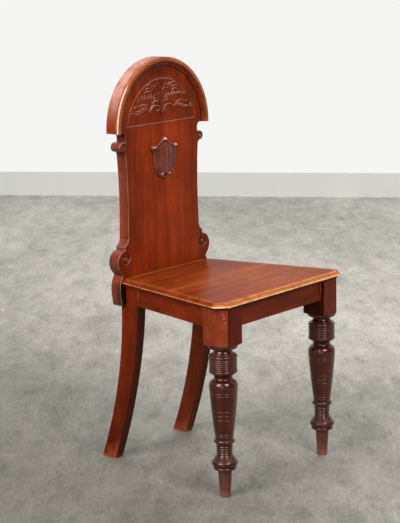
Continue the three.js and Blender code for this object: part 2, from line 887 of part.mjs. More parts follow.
// A round-bottomed groove along a plane spiral on the face of the board
function spiralGroove(centreX, centreZ, side, startRadius, endRadius, turns, width) {
  const steps = Math.round(turns * spiralStepsPerTurn);
  const rings = [];
  for (let i = 0; i <= steps; i++) {
    const share = i / steps;
    const angle = Math.PI / 2 + 2 * Math.PI * turns * share;
    const radius = startRadius + (endRadius - startRadius) * share;
    const ring = [];
    for (let k = 0; k < spiralSides; k++) {
      const around = (2 * Math.PI * k) / spiralSides;
      const reach = radius + width * Math.cos(around);
      const x = centreX + side * reach * Math.cos(angle);
      const z = centreZ + reach * Math.sin(angle);
      ring.push(new THREE.Vector3(x, boardFaceY + width * Math.sin(around), z));
    }
    rings.push(ring);
  }
  const outline = rings[0].map(({ y, z }) => new THREE.Vector2(y, z));
  return solid(loft(rings, outline));
}

function lunetteLine() {
  const rise = lunetteRise + lunetteCentreDrop;
  const segment = (radius, base) => {
    const lift = Math.asin(base / radius);
    return arc(0, hoodEndHeight - lunetteCentreDrop, radius, lift, Math.PI - lift, lunetteSteps);
  };
  const outer = new THREE.Shape(segment(lunetteRadius, rise));
  outer.holes.push(new THREE.Path(segment(lunetteRadius - lunetteLineWidth, rise + lunetteLineWidth)));
  const depth = lunetteLineDepth + cutOverrun;
  const geometry = new THREE.ExtrudeGeometry(outer, { depth, bevelEnabled: false });
  return solid(geometry.rotateX(Math.PI / 2).translate(0, boardFaceY + lunetteLineDepth, 0));
}

function backBoard() {
  const body = solid(plate(boardOutline(), boardFaceY, boardThickness, boardArris));
  const grooves = [-1, 1].flatMap((side) => [
    spiralGroove(
      side * voluteEyeHalfSpan,
      voluteEyeZ,
      -side,
      voluteRadius - voluteGroove,
      voluteEyeRadius + voluteGroove,
      voluteTurns,
      voluteGroove,
    ),
    spiralGroove(
      side * upperEarHalfSpan,
      upperEarZ,
      -side,
      upperEarRadius * earGrooveShares.start,
      upperEarEyeRadius * earGrooveShares.end,
      earTurns,
      earGroove,
    ),
  ]);
  return cut(body, [...grooves, lunetteLine(), ...backScrewHoles(), shieldScrewHole(), ...pinHoles()]);
}

// Hood moulding

// Section from the inner edge outwards, as [share of the width, share of the projection]
const hoodSectionShares = [
  [0, 0.2],
  [0.08, 0.2],
  [0.14, 0.26],
  [0.24, 0.36],
  [0.34, 0.52],
  [0.42, 0.74],
  [0.46, 0.86],
  [0.52, 0.86],
  [0.58, 0.96],
  [0.72, 1],
  [0.86, 0.95],
  [0.96, 0.8],
  [1, 0.6],
];

function hoodMoulding() {
  const inner = hoodRadius - hoodWidth;
  const back = boardFaceY - seatGap;
  const front = hoodSectionShares.map(([across, out]) => {
    return [inner + hoodWidth * across, back - hoodProjection * out];
  });
  const section = [...front, [hoodRadius, back], [inner, back]];
  const sectionAt = (angle, centreZ) => section.map(([radius, y]) => {
    return new THREE.Vector3(radius * Math.cos(angle), y, centreZ + radius * Math.sin(angle));
  });
  const rings = [sectionAt(0, hoodEndHeight)];
  for (let i = 0; i <= hoodSteps; i++) {
    rings.push(sectionAt((Math.PI * i) / hoodSteps, hoodCentreZ));
  }
  rings.push(sectionAt(Math.PI, hoodEndHeight));
  const outline = section.map(([radius, y]) => new THREE.Vector2(radius, y));
  return cut(solid(loft(rings, outline)), pinHoles());
}

// Shield

// Right-hand edge from the top point to the bottom one, in shares of the half width, rise and fall
const shieldEdgeShares = [
  [0.06, 1],
  [0.16, 0.88],
  [0.33, 0.74],
  [0.53, 0.62],
  [0.76, 0.58],
  [0.91, 0.63],
  [1, 0.54],
  [0.97, 0.41],
  [0.83, 0.28],
  [0.82, 0],
  [0.81, -0.24],
  [0.75, -0.5],
  [0.62, -0.71],
  [0.43, -0.88],
  [0.2, -0.97],
];

// Levels of the shield from the board outwards, as [size, share of its edge] and [size, share of its crown]
const shieldEdgeLevelShares = [
  [1, 0],
  [1, 0.82],
  [0.94, 1],
  [0.86, 1],
];
const shieldCrownLevelShares = [
  [0.82, 0.3],
  [0.6, 0.72],
  [0.34, 0.94],
  [0.1, 1],
];

function shieldRing(size, y) {
  const right = shieldEdgeShares.map(([across, up]) => {
    const z = up > 0 ? up * shieldRise : up * shieldFall;
    return new THREE.Vector3(across * shieldHalfWidth * size, y, z * size);
  });
  const left = right.map(({ x, z }) => new THREE.Vector3(-x, y, z)).reverse();
  return [...right, new THREE.Vector3(0, y, -shieldFall * size), ...left];
}

// The shield's field rises from its edge to a crown, drawn about the shield's own centre
function shieldSolid() {
  const edge = shieldEdgeLevelShares.map(([size, out]) => shieldRing(size, -seatGap - shieldEdge * out));
  const crown = shieldCrownLevelShares.map(([size, out]) => {
    return shieldRing(size, -seatGap - shieldEdge - (shieldRelief - shieldEdge) * out);
  });
  const rings = [...edge, ...crown];
  const outline = rings[0].map(({ x, z }) => new THREE.Vector2(x, z));
  const hole = facingFront(screwHole(shieldScrew)).translate(0, boardThickness, 0);
  return cut(solid(loft(rings, outline)), [solid(hole)]);
}

function shieldScrewHole() {
  return solid(facingFront(screwHole(shieldScrew)).translate(0, rearFaceY, shieldZ));
}

// The chair

const chair = new THREE.Group();
chair.name = "hall_chair";
chair.position.y = -(seatFrontY + heelY) / 2;

function place(name, geometry, material, x = 0, y = 0, z = 0) {
  const mesh = new THREE.Mesh(geometry, material);
  mesh.name = name;
  mesh.position.set(x, y, z);
  chair.add(mesh);
}

function placeLegsAndRails() {
  for (const [word, side] of [["left", -1], ["right", 1]]) {
    place(`front_${word}_leg`, geometryOf(frontLeg(side)), turned, side * frontLegX);
    place(`rear_${word}_leg`, geometryOf(rearLeg(side)), casing, side * rearLegX);
    place(`${word}_rail`, geometryOf(sideRailBody(side).add(sideRailTenons(side, 0))), casing);
  }
  const frontBody = straightRail(frontRailHalf, frontRailY, 0, railThickness, 0);
  place("front_rail", geometryOf(frontBody.add(frontRailTenons(0))), casing);
  const rearBody = straightRail(rearRailHalf, rearRailY, 0, railThickness, 0);
  place("rear_rail", geometryOf(cut(rearBody.add(rearRailTenons(0)), backScrewHoles())), casing);
}

function placeSeat() {
  const boards = seatBoards();
  place("seat_front_board", geometryOf(boards.front), seatPolish);
  place("seat_rear_board", geometryOf(boards.rear), seatPolish);
  dowelPlaces.forEach((x, i) => {
    place(`seat_dowel_${i + 1}`, dowelGeometry(), blockWood, x, seatJointY, dowelZ);
  });
  for (const [name, plan] of Object.entries(blockPlans)) {
    place(name, geometryOf(cornerBlock(plan)), blockWood);
  }
  seatScrewPlaces.forEach(([x, y], i) => {
    place(`seat_screw_${i + 1}`, screwGeometry(seatScrew), steel, x, y, cornerBlockBottom);
  });
}

function placeBack() {
  place("back_board", geometryOf(backBoard()), casing);
  place("hood_moulding", geometryOf(hoodMoulding()), casing);
  place("shield", geometryOf(shieldSolid()), carved, 0, boardFaceY, shieldZ);
  place("shield_screw", facingFront(screwGeometry(shieldScrew)), steel, 0, rearFaceY, shieldZ);
  pinPlaces.forEach(([x, z], i) => place(`hood_pin_${i + 1}`, pinGeometry(), steel, x, pinFrontY, z));
  backScrewPlaces.forEach(([x, z], i) => {
    place(`back_screw_${i + 1}`, facingFront(screwGeometry(boardScrew)), steel, x, rearFaceY, z);
  });
}

placeLegsAndRails();
placeSeat();
placeBack();

export default chair;
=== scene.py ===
"""Hall chair in polished mahogany: the fine surface of every piece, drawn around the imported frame.

Sizes are millimetres in the chair's drawing: X to the right, Y to the back from the axes of the front legs,
Z up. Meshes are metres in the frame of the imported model.
"""
import logging
import math
from collections.abc import Callable, Iterable, Sequence
from dataclasses import dataclass, field
from enum import Enum
from functools import reduce

import bmesh
import bpy
import numpy as np
from bpy.types import Material, Mesh, Node, NodeSocket, NodeTree, Object, bpy_prop_collection
from mathutils import Matrix, Vector
from mathutils.geometry import delaunay_2d_cdt


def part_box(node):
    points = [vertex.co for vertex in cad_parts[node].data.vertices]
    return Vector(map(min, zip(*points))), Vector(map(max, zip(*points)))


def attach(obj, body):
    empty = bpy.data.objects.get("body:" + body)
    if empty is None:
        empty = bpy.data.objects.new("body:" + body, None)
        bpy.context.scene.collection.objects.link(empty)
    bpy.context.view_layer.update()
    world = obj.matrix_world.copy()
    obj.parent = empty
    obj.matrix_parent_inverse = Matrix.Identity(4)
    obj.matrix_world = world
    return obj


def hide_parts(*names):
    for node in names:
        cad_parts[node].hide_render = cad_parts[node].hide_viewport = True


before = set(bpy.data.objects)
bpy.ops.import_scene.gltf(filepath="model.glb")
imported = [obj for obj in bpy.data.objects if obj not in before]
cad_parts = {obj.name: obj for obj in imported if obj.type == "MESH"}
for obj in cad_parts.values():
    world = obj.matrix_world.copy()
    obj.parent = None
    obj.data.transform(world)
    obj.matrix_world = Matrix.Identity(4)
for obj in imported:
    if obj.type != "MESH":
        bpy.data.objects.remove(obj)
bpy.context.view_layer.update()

MM = 0.001
BODY = "root"
# The wear attribute holds real wear and painted highlights; the hollow attribute holds dark old polish and
# painted shade.
WEAR_AND_GLINT = "wear"
SHADE_AND_GRIME = "hollow"
SIDES = {"left": -1, "right": 1}

logging.basicConfig(level=logging.INFO, format="%(levelname)s %(message)s")
log = logging.getLogger("hall_chair")

EASED_WEAR = 0.4
SHARP_TURN = 0.5
MERGED = 1e-6
WEAR_BEND = (0.04, 0.3)
HOLLOW_BEND = (0.02, 0.25)

Number = np.ndarray | float
Row = tuple[float, ...]
Triple = tuple[float, float, float]
Pair = tuple[float, float]
Line = list[Pair]
Tone = tuple[int, int, int]
Palette = tuple[Tone, Tone, Tone, Tone]
Relief = Callable[[np.ndarray, np.ndarray], np.ndarray]


def box_mm(node: str) -> tuple[np.ndarray, np.ndarray]:
    """Lowest and highest corner of a node of the frame.

    Args:
        node: Name of the node.

    Returns:
        Both corners in millimetres, with Y still in the frame's own place.
    """
    low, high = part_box(node)
    return np.array(low) / MM, np.array(high) / MM


LEG_LOW, LEG_HIGH = box_mm("front_left_leg")
DRAWING_Y = (LEG_LOW[1] + LEG_HIGH[1]) / 2
FRONT_LEG_X = -(LEG_LOW[0] + LEG_HIGH[0]) / 2
SEAT_TOP = box_mm("seat_front_board")[1][2]
SEAT_UNDERSIDE = box_mm("seat_front_board")[0][2]
SEAT_FRONT_Y = box_mm("seat_front_board")[0][1] - DRAWING_Y
BOARD_FACE_Y = box_mm("back_board")[0][1] - DRAWING_Y
BOARD_REAR_Y = box_mm("back_board")[1][1] - DRAWING_Y
FRAME_TOP = LEG_HIGH[2]


def linear(tone: Tone) -> Row:
    """A colour as written for a screen, turned into the linear one that a shader takes.

    Args:
        tone: Red, green and blue from 0 to 255.

    Returns:
        Red, green, blue and opacity from 0 to 1.
    """
    shares = [channel / 255 for channel in tone]
    bright = [((s + 0.055) / 1.055) ** 2.4 if s > 0.04045 else s / 12.92 for s in shares]
    return (*bright, 1.0)


def smooth_step(value: Number) -> Number:
    """An even rise from 0 to 1 with soft ends."""
    share = np.clip(value, 0, 1)
    return share * share * (3 - 2 * share)


def bell(off: Number, width: float, other: Number = 0.0, height: float = 1.0) -> Number:
    """A soft bump of 1 that fades with an offset over a width, and with another offset over a height."""
    return np.exp(-((off / width) ** 2 + (other / height) ** 2))


def highest(*values: Number) -> Number:
    """The highest of several values at each place."""
    return reduce(np.maximum, values)


def turned_from(angles: Number, start: float) -> Number:
    """Angles counted from a direction, at most half a turn either way."""
    return np.angle(np.exp(1j * (angles - start)))


def around(radius: Number, angles: np.ndarray, height: float, axis: float = 0) -> np.ndarray:
    """A ring of points about an upright axis."""
    level = np.full(len(angles), height)
    return np.stack([axis + radius * np.cos(angles), radius * np.sin(angles), level], 1)


def upright(flat: np.ndarray, depth: Number) -> np.ndarray:
    """Points given in X and Z, set at a depth."""
    return np.stack([flat[:, 0], np.broadcast_to(depth, len(flat)), flat[:, 1]], 1)


def soft_minimum(first: np.ndarray, second: np.ndarray, reach: float) -> np.ndarray:
    """The lower of two surfaces, with the crease between them rounded.

    Args:
        first: One surface.
        second: The other surface.
        reach: How far from the crease the rounding starts.

    Returns:
        The rounded lower surface.
    """
    share = np.clip(0.5 + 0.5 * (second - first) / reach, 0, 1)
    return second + (first - second) * share - reach * share * (1 - share)


def bezier(start: Sequence[float], first: Sequence[float], second: Sequence[float], end: Sequence[float],
           steps: int) -> Line:
    """Points of a cubic curve.

    Args:
        start: Its start.
        first: The corner that it leaves towards.
        second: The corner that it comes from.
        end: Its end.
        steps: How many steps it has.

    Returns:
        The points, its start and end among them.
    """
    corners = [np.array(corner, float) for corner in (start, first, second, end)]
    points = []
    for t in np.linspace(0, 1, steps + 1):
        shares = [(1 - t) ** 3, 3 * t * (1 - t) ** 2, 3 * t * t * (1 - t), t ** 3]
        points.append(tuple(sum(share * corner for share, corner in zip(shares, corners))))
    return points


def arc(centre: Sequence[float], radius: float, start: float, end: float, steps: int) -> Line:
    """Points of an arc between two angles in degrees, its start and end among them."""
    angles = np.radians(np.linspace(start, end, steps + 1))
    return [(centre[0] + radius * math.cos(a), centre[1] + radius * math.sin(a)) for a in angles]


def through(points: Sequence[Sequence[float]], steps: int) -> Line:
    """A smooth line through given points.

    Args:
        points: The points, in order.
        steps: Steps between one point and the next.

    Returns:
        Points of the line, both ends among them.
    """
    given = np.array(points, float)
    padded = np.vstack([2 * given[0] - given[1], given, 2 * given[-1] - given[-2]])
    line = []
    for i in range(len(given) - 1):
        a, b, c, d = padded[i:i + 4]
        for t in np.arange(steps) / steps:
            line.append(tuple(0.5 * (2 * b + (c - a) * t + (2 * a - 5 * b + 4 * c - d) * t * t
                                     + (3 * b - a - 3 * c + d) * t ** 3)))
    line.append(tuple(given[-1]))
    return line


def inset(outline: np.ndarray, distance: float) -> np.ndarray:
    """An outline drawn in on every side.

    Args:
        outline: Corners in order, counter-clockwise.
        distance: How far each edge moves in.

    Returns:
        The corners of the smaller outline, one for each given corner.
    """
    along = np.roll(outline, -1, 0) - outline
    along /= np.linalg.norm(along, axis=1)[:, None]
    inward = np.stack([-along[:, 1], along[:, 0]], 1)
    before = np.roll(inward, 1, 0)
    middle = inward + before
    middle /= np.maximum((middle * middle).sum(1), 0.5)[:, None]
    return outline + 2 * middle * distance


def away_from(points: np.ndarray, line: np.ndarray, closed: bool) -> np.ndarray:
    """Distance of points from a line of straight stretches.

    Args:
        points: The points, two numbers each.
        line: The line's points.
        closed: Whether the last point is joined to the first.

    Returns:
        One distance for each point.
    """
    starts = line if closed else line[:-1]
    ends = np.roll(line, -1, 0) if closed else line[1:]
    nearest = np.full(len(points), np.inf)
    for start, end in zip(starts, ends):
        span = end - start
        share = np.clip(((points - start) @ span) / max(span @ span, 1e-12), 0, 1)
        gap = points - start - share[:, None] * span
        nearest = np.minimum(nearest, (gap * gap).sum(1))
    return np.sqrt(nearest)


def inside(points: np.ndarray, outline: np.ndarray) -> np.ndarray:
    """Which points lie within an outline.

    Args:
        points: The points, two numbers each.
        outline: Its corners.

    Returns:
        True for each point inside.
    """
    found = np.zeros(len(points), bool)
    x, z = points[:, 0], points[:, 1]
    for (ax, az), (bx, bz) in zip(outline, np.roll(outline, -1, 0)):
        crossing = (az > z) != (bz > z)
        reach = ax + (z - az) * (bx - ax) / (bz - az if bz != az else 1e-12)
        found ^= crossing & (x < reach)
    return found


@dataclass(frozen=True)
class Zone:
    """A stretch of a face that is drawn with points a given step apart, in millimetres."""

    left: float
    right: float
    bottom: float
    top: float
    step: float

    def points(self) -> np.ndarray:
        """The points of the zone, every other row moved on by half a step.

        Returns:
            Their X and Z.
        """
        rows = np.arange(self.bottom, self.top, self.step * 0.87, float)
        columns = np.arange(self.left, self.right, self.step, float)
        x, z = np.meshgrid(columns, rows)
        x[1::2] += self.step / 2
        return np.stack([x.ravel(), z.ravel()], 1)

    def holds(self, points: np.ndarray) -> np.ndarray:
        """Whether each point lies in the zone."""
        x, z = points[:, 0], points[:, 1]
        return (x > self.left) & (x < self.right) & (z > self.bottom) & (z < self.top)


def fill(outline: np.ndarray, zones: Sequence[Zone],
         loops: Sequence[np.ndarray] = ()) -> tuple[np.ndarray, list]:
    """Fills an outline with triangles, finer where a zone asks for it.

    Args:
        outline: The corners in order.
        zones: The finest first; a later zone leaves out what an earlier one holds.
        loops: Closed lines that the triangles have to follow.

    Returns:
        The points, the outline's own first, and the triangles as index triples.
    """
    chosen = []
    for i, zone in enumerate(zones):
        points = zone.points()
        for finer in zones[:i]:
            points = points[~finer.holds(points)]
        points = points[inside(points, outline)]
        points = points[away_from(points, outline, True) > zone.step * 0.6]
        for loop in loops:
            points = points[away_from(points, loop, True) > zone.step * 0.35]
        chosen.append(points)
    corners = [outline, *loops]
    edges = []
    start = 0
    for loop in corners:
        edges += [(start + i, start + (i + 1) % len(loop)) for i in range(len(loop))]
        start += len(loop)
    every = np.vstack(corners + chosen)
    flat = [Vector(point) for point in every]
    found = delaunay_2d_cdt(flat, edges, [list(range(len(outline)))], 1, 1e-6)
    return np.array([tuple(point) for point in found[0]]), [tuple(face) for face in found[2]]


@dataclass
class Draft:
    """A mesh in the making, in millimetres of the drawing."""

    blocks: list[np.ndarray] = field(default_factory=list)
    faces: list[tuple[int, ...]] = field(default_factory=list)
    count: int = 0

    def add(self, points: np.ndarray) -> int:
        """Adds points.

        Args:
            points: Their X, Y and Z in millimetres.

        Returns:
            The place of the first.
        """
        start = self.count
        self.blocks.append(np.asarray(points, float))
        self.count += len(points)
        return start

    def skin(self, rings: Sequence[np.ndarray]) -> tuple[int, int]:
        """Joins closed rings of equal length with four-sided faces.

        Args:
            rings: The rings in order, each an array of points.

        Returns:
            The places of the first point of the first and of the last ring.
        """
        length = len(rings[0])
        start = self.add(np.vstack(rings))
        for ring in range(len(rings) - 1):
            base = start + ring * length
            for i in range(length):
                j = (i + 1) % length
                self.faces.append((base + i, base + j, base + j + length, base + i + length))
        return start, start + (len(rings) - 1) * length

    def cap(self, first: int, length: int) -> None:
        """Closes a ring of points with one face."""
        self.faces.append(tuple(range(first, first + length)))

    def fan(self, first: int, length: int, centre: Sequence[float]) -> None:
        """Closes a ring of points with triangles that meet in a centre."""
        middle = self.add(np.array([centre]))
        self.faces += [(first + i, first + (i + 1) % length, middle) for i in range(length)]

    def patch(self, points: np.ndarray, triangles: Iterable[tuple[int, ...]]) -> None:
        """Adds a filled face of its own points."""
        start = self.add(points)
        self.faces += [tuple(start + i for i in face) for face in triangles]

    def piece(self, name: str, crease: float) -> Object:
        """Makes the object, with its doubles merged and its faces outwards.

        Args:
            name: Name of the object.
            crease: Angle in degrees past which an edge stays sharp.

        Returns:
            The object, in the scene, at the origin.
        """
        points = np.vstack(self.blocks)
        points[:, 1] += DRAWING_Y
        mesh = bpy.data.meshes.new(name)
        mesh.from_pydata((points * MM).tolist(), [], self.faces)
        cleaned(mesh, MERGED)
        mark_bends(mesh)
        smooth(mesh, crease)
        return placed(name, mesh)


def placed(name: str, mesh: Mesh) -> Object:
    """A new object of a mesh, in the scene, at the origin.

    Args:
        name: Its name.
        mesh: Its mesh.

    Returns:
        The object.
    """
    made = bpy.data.objects.new(name, mesh)
    bpy.context.scene.collection.objects.link(made)
    return made


def smooth(mesh: Mesh, crease: float) -> None:
    """Shades a mesh smooth up to an angle in degrees."""
    mesh.shade_smooth()
    mesh.set_sharp_from_angle(angle=math.radians(crease))


def cleaned(mesh: Mesh, distance: float) -> None:
    """Merges the doubles of a mesh and turns its faces outwards.

    Args:
        mesh: The mesh.
        distance: How close two points have to be, in metres, to become one.
    """
    drawn = bmesh.new()
    drawn.from_mesh(mesh)
    bmesh.ops.remove_doubles(drawn, verts=drawn.verts, dist=distance)
    bmesh.ops.recalc_face_normals(drawn, faces=drawn.faces)
    drawn.to_mesh(mesh)
    drawn.free()


def rows_of(items: bpy_prop_collection, key: str) -> np.ndarray:
    """A vector that every item of a mesh has, one row for each.

    Args:
        items: The points, normals or faces of the mesh.
        key: The vector's name.

    Returns:
        The rows.
    """
    found = np.zeros(len(items) * 3)
    items.foreach_get(key, found)
    return found.reshape(-1, 3)


def points_of(mesh: Mesh) -> np.ndarray:
    """The points of a mesh in millimetres."""
    return rows_of(mesh.vertices, "co") / MM


def normals_of(mesh: Mesh) -> np.ndarray:
    """Which way each point of a mesh faces."""
    return rows_of(mesh.vertex_normals, "vector")


def mark_bends(mesh: Mesh) -> None:
    """Stores how far each point stands out, for wear, or lies in a hollow, for dark old polish and painted
    shade in crevices.

    Args:
        mesh: The mesh, in metres, that gets both attributes.
    """
    points, normals = points_of(mesh), normals_of(mesh)
    ends = np.zeros(len(mesh.edges) * 2, int)
    mesh.edges.foreach_get("vertices", ends)
    ends = ends.reshape(-1, 2)
    total = np.zeros(len(points))
    number = np.zeros(len(points))
    for near, far in (ends.T, ends[:, ::-1].T):
        span = points[far] - points[near]
        length = np.maximum((span * span).sum(1), 1e-6)
        np.add.at(total, near, -2 * (span * normals[near]).sum(1) / length)
        np.add.at(number, near, 1)
    bend = total / np.maximum(number, 1)
    for name, way, (start, reach) in ((WEAR_AND_GLINT, 1, WEAR_BEND), (SHADE_AND_GRIME, -1, HOLLOW_BEND)):
        store(mesh, name, np.clip((way * bend - start) / reach, 0, 1))


def store(mesh: Mesh, name: str, values: np.ndarray) -> None:
    """Keeps one number for each point of a mesh under a name."""
    attribute = mesh.attributes.get(name) or mesh.attributes.new(name, "FLOAT", "POINT")
    attribute.data.foreach_set("value", np.asarray(values, np.float32))


def kept(mesh: Mesh, name: str) -> np.ndarray:
    """The numbers that a mesh keeps under a name.

    Args:
        mesh: The mesh.
        name: The name.

    Returns:
        One number for each point.
    """
    values = np.zeros(len(mesh.vertices), np.float32)
    mesh.attributes[name].data.foreach_get("value", values)
    return values


def raised(mesh: Mesh, name: str, values: np.ndarray) -> None:
    """Lifts the numbers that a mesh keeps to at least some values."""
    store(mesh, name, np.maximum(kept(mesh, name), values))


def dressed(piece: Object, materials: Sequence[Material], chosen: np.ndarray) -> None:
    """Gives a piece its materials and tells each face which one it has."""
    for material in materials:
        piece.data.materials.append(material)
    piece.data.polygons.foreach_set("material_index", chosen.astype(int))


def softened(node: str, name: str, arris: float, shortest: float) -> Object:
    """A copy of a node with its long edges eased, as by plane and sandpaper.

    Args:
        node: The node to copy.
        name: Name of the new piece.
        arris: Width of the easing in millimetres.
        shortest: Edges shorter than this, in millimetres, stay as they are.

    Returns:
        The new piece.
    """
    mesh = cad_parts[node].data.copy()
    mesh.name = name
    mesh.materials.clear()
    drawn = bmesh.new()
    drawn.from_mesh(mesh)
    bmesh.ops.remove_doubles(drawn, verts=drawn.verts, dist=2 * MERGED)
    bmesh.ops.dissolve_limit(drawn, angle_limit=math.radians(0.4), verts=drawn.verts, edges=drawn.edges)
    sharp = [edge for edge in drawn.edges if edge.is_manifold and edge.calc_face_angle_signed(0) > SHARP_TURN
             and edge.calc_length() > shortest * MM]
    eased = bmesh.ops.bevel(drawn, geom=sharp, offset=arris * MM, segments=4, profile=0.5, affect="EDGES",
                            clamp_overlap=True)
    faces = set(eased["faces"])
    worn = [all(face in faces for face in vertex.link_faces) for vertex in drawn.verts]
    drawn.to_mesh(mesh)
    drawn.free()
    store(mesh, WEAR_AND_GLINT, np.array(worn, float) * EASED_WEAR)
    store(mesh, SHADE_AND_GRIME, np.zeros(len(mesh.vertices)))
    smooth(mesh, 30)
    made = placed(name, mesh)
    weighted = made.modifiers.new("Even faces", "WEIGHTED_NORMAL")
    weighted.keep_sharp = True
    return made


def join_up(piece: Object, material: Material, slot: str, *nodes: str) -> None:
    """Dresses a piece that has no finish yet and fixes it to the frame.

    Args:
        piece: The finished piece.
        material: Its main finish.
        slot: The record's name for that finish; not used.
        nodes: The nodes that it stands for.
    """
    if not piece.data.materials:
        piece.data.materials.append(material)
    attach(piece, BODY)
    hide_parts(*nodes)
    log.info("%s: %d faces for %s", piece.name, len(piece.data.polygons), ", ".join(nodes))


class Graph:
    """Short ways to add and join the nodes of a tree."""

    def __init__(self, tree: NodeTree) -> None:
        """Starts from an empty tree."""
        self.tree = tree
        tree.nodes.clear()

    def node(self, kind: str, inputs: dict[str | int, object] | None = None, **settings: object) -> Node:
        """Adds a node.

        Args:
            kind: Its type.
            inputs: A value or an output for each input, by name or place.
            settings: Its own settings.

        Returns:
            The node.
        """
        made = self.tree.nodes.new(kind)
        for key, value in settings.items():
            setattr(made, key, value)
        for key, value in (inputs or {}).items():
            if isinstance(value, NodeSocket):
                self.tree.links.new(value, made.inputs[key])
            else:
                made.inputs[key].default_value = value
        return made

    def out(self, kind: str, inputs: dict[str | int, object] | None = None, **settings: object) -> NodeSocket:
        """The first output of a node that it adds."""
        return self.node(kind, inputs, **settings).outputs[0]

    def noise(self, vector: NodeSocket, detail: float = 2, roughness: float = 0.5,
              distortion: float = 0) -> NodeSocket:
        """Even noise from 0 to 1, one wave to a unit of the vector."""
        inputs = {"Vector": vector, "Scale": 1.0, "Detail": detail, "Roughness": roughness,
                  "Distortion": distortion}
        return self.out("ShaderNodeTexNoise", inputs)

    def scaled(self, vector: NodeSocket, scale: Sequence[float],
               shift: Sequence[float] = (0, 0, 0)) -> NodeSocket:
        """A vector stretched and moved on each axis."""
        inputs = {"Vector": vector, "Scale": tuple(scale), "Location": tuple(shift)}
        return self.out("ShaderNodeMapping", inputs)

    def maths(self, operation: str, first: object, second: object = 0.0, third: object = 0.0,
              clamp: bool = False) -> NodeSocket:
        """The result of a sum on two or three numbers."""
        inputs = {0: first, 1: second, 2: third}
        return self.out("ShaderNodeMath", inputs, operation=operation, use_clamp=clamp)

    def times(self, first: object, second: object, clamp: bool = False) -> NodeSocket:
        """The product of two numbers."""
        return self.maths("MULTIPLY", first, second, clamp=clamp)

    def spread(self, value: object, low: float, high: float, bottom: float = 0,
               top: float = 1) -> NodeSocket:
        """A number carried softly from one range to another, and held at its ends."""
        inputs = {"Value": value, "From Min": low, "From Max": high, "To Min": bottom, "To Max": top}
        return self.out("ShaderNodeMapRange", inputs, interpolation_type="SMOOTHSTEP")

    def blend(self, share: object, first: object, second: object, mode: str = "MIX") -> NodeSocket:
        """Two colours mixed by a share."""
        inputs = {0: share, 6: first, 7: second}
        return self.node("ShaderNodeMix", inputs, data_type="RGBA", blend_type=mode).outputs[2]

    def attribute(self, name: str) -> NodeSocket:
        """A number kept on the points of the piece."""
        return self.node("ShaderNodeAttribute", attribute_name=name).outputs["Fac"]

    def shaded(self, colour: object, number: NodeSocket) -> NodeSocket:
        """A colour made darker or lighter by a number."""
        grey = self.out("ShaderNodeCombineColor", {0: number, 1: number, 2: number})
        return self.blend(1.0, colour, grey, "MULTIPLY")

    def vectors(self, operation: str, first: object, second: object) -> Node:
        """The node of a sum on two vectors."""
        return self.node("ShaderNodeVectorMath", {0: first, 1: second}, operation=operation)

    def surface(self, height: NodeSocket, strength: float, depth: float, inputs: dict[str, object]) -> None:
        """Ends the tree of a material with a bump and a shader.

        Args:
            height: The pattern that stands out.
            strength: Strength of the bump.
            depth: Its depth in metres.
            inputs: The shader's other inputs.
        """
        bump = self.node("ShaderNodeBump", {"Height": height, "Strength": strength, "Distance": depth})
        shader = self.node("ShaderNodeBsdfPrincipled", {**inputs, "Normal": bump.outputs[0]})
        self.node("ShaderNodeOutputMaterial", {"Surface": shader.outputs[0]})

    def realized(self, geometry: NodeSocket, finish: Material) -> NodeTree:
        """Ends a Geometry Nodes tree with a plain mesh that has its material.

        Args:
            geometry: What the tree makes.
            finish: The material.

        Returns:
            The tree.
        """
        whole = self.out("GeometryNodeRealizeInstances", {"Geometry": geometry})
        made = self.out("GeometryNodeSetMaterial", {"Geometry": whole, "Material": finish})
        self.node("NodeGroupOutput", {0: made})
        return self.tree


def blank(name: str) -> tuple[Material, Graph, NodeSocket]:
    """A material with an empty tree, and the place on the piece that its patterns follow.

    Args:
        name: Its name.

    Returns:
        The material, its graph and the place.
    """
    made = bpy.data.materials.new(name)
    made.use_nodes = True
    graph = Graph(made.node_tree)
    return made, graph, graph.node("ShaderNodeTexCoord").outputs["Object"]


def rule(name: str, inputs: dict[str, str], output: str) -> tuple[Graph, bpy_prop_collection]:
    """Starts a Geometry Nodes tree.

    Args:
        name: Its name.
        inputs: The kind of each named input.
        output: Name of its output.

    Returns:
        The tree's graph and the sockets that give its inputs.
    """
    tree = bpy.data.node_groups.new(name, "GeometryNodeTree")
    for word, kind in inputs.items():
        tree.interface.new_socket(word, in_out="INPUT", socket_type=f"NodeSocket{kind}")
    tree.interface.new_socket(output, in_out="OUTPUT", socket_type="NodeSocketGeometry")
    graph = Graph(tree)
    return graph, graph.node("NodeGroupInput").outputs


class Grain(Enum):
    """Axis along which the fibres of a piece run."""

    ACROSS = 0
    DEEP = 1
    UPRIGHT = 2


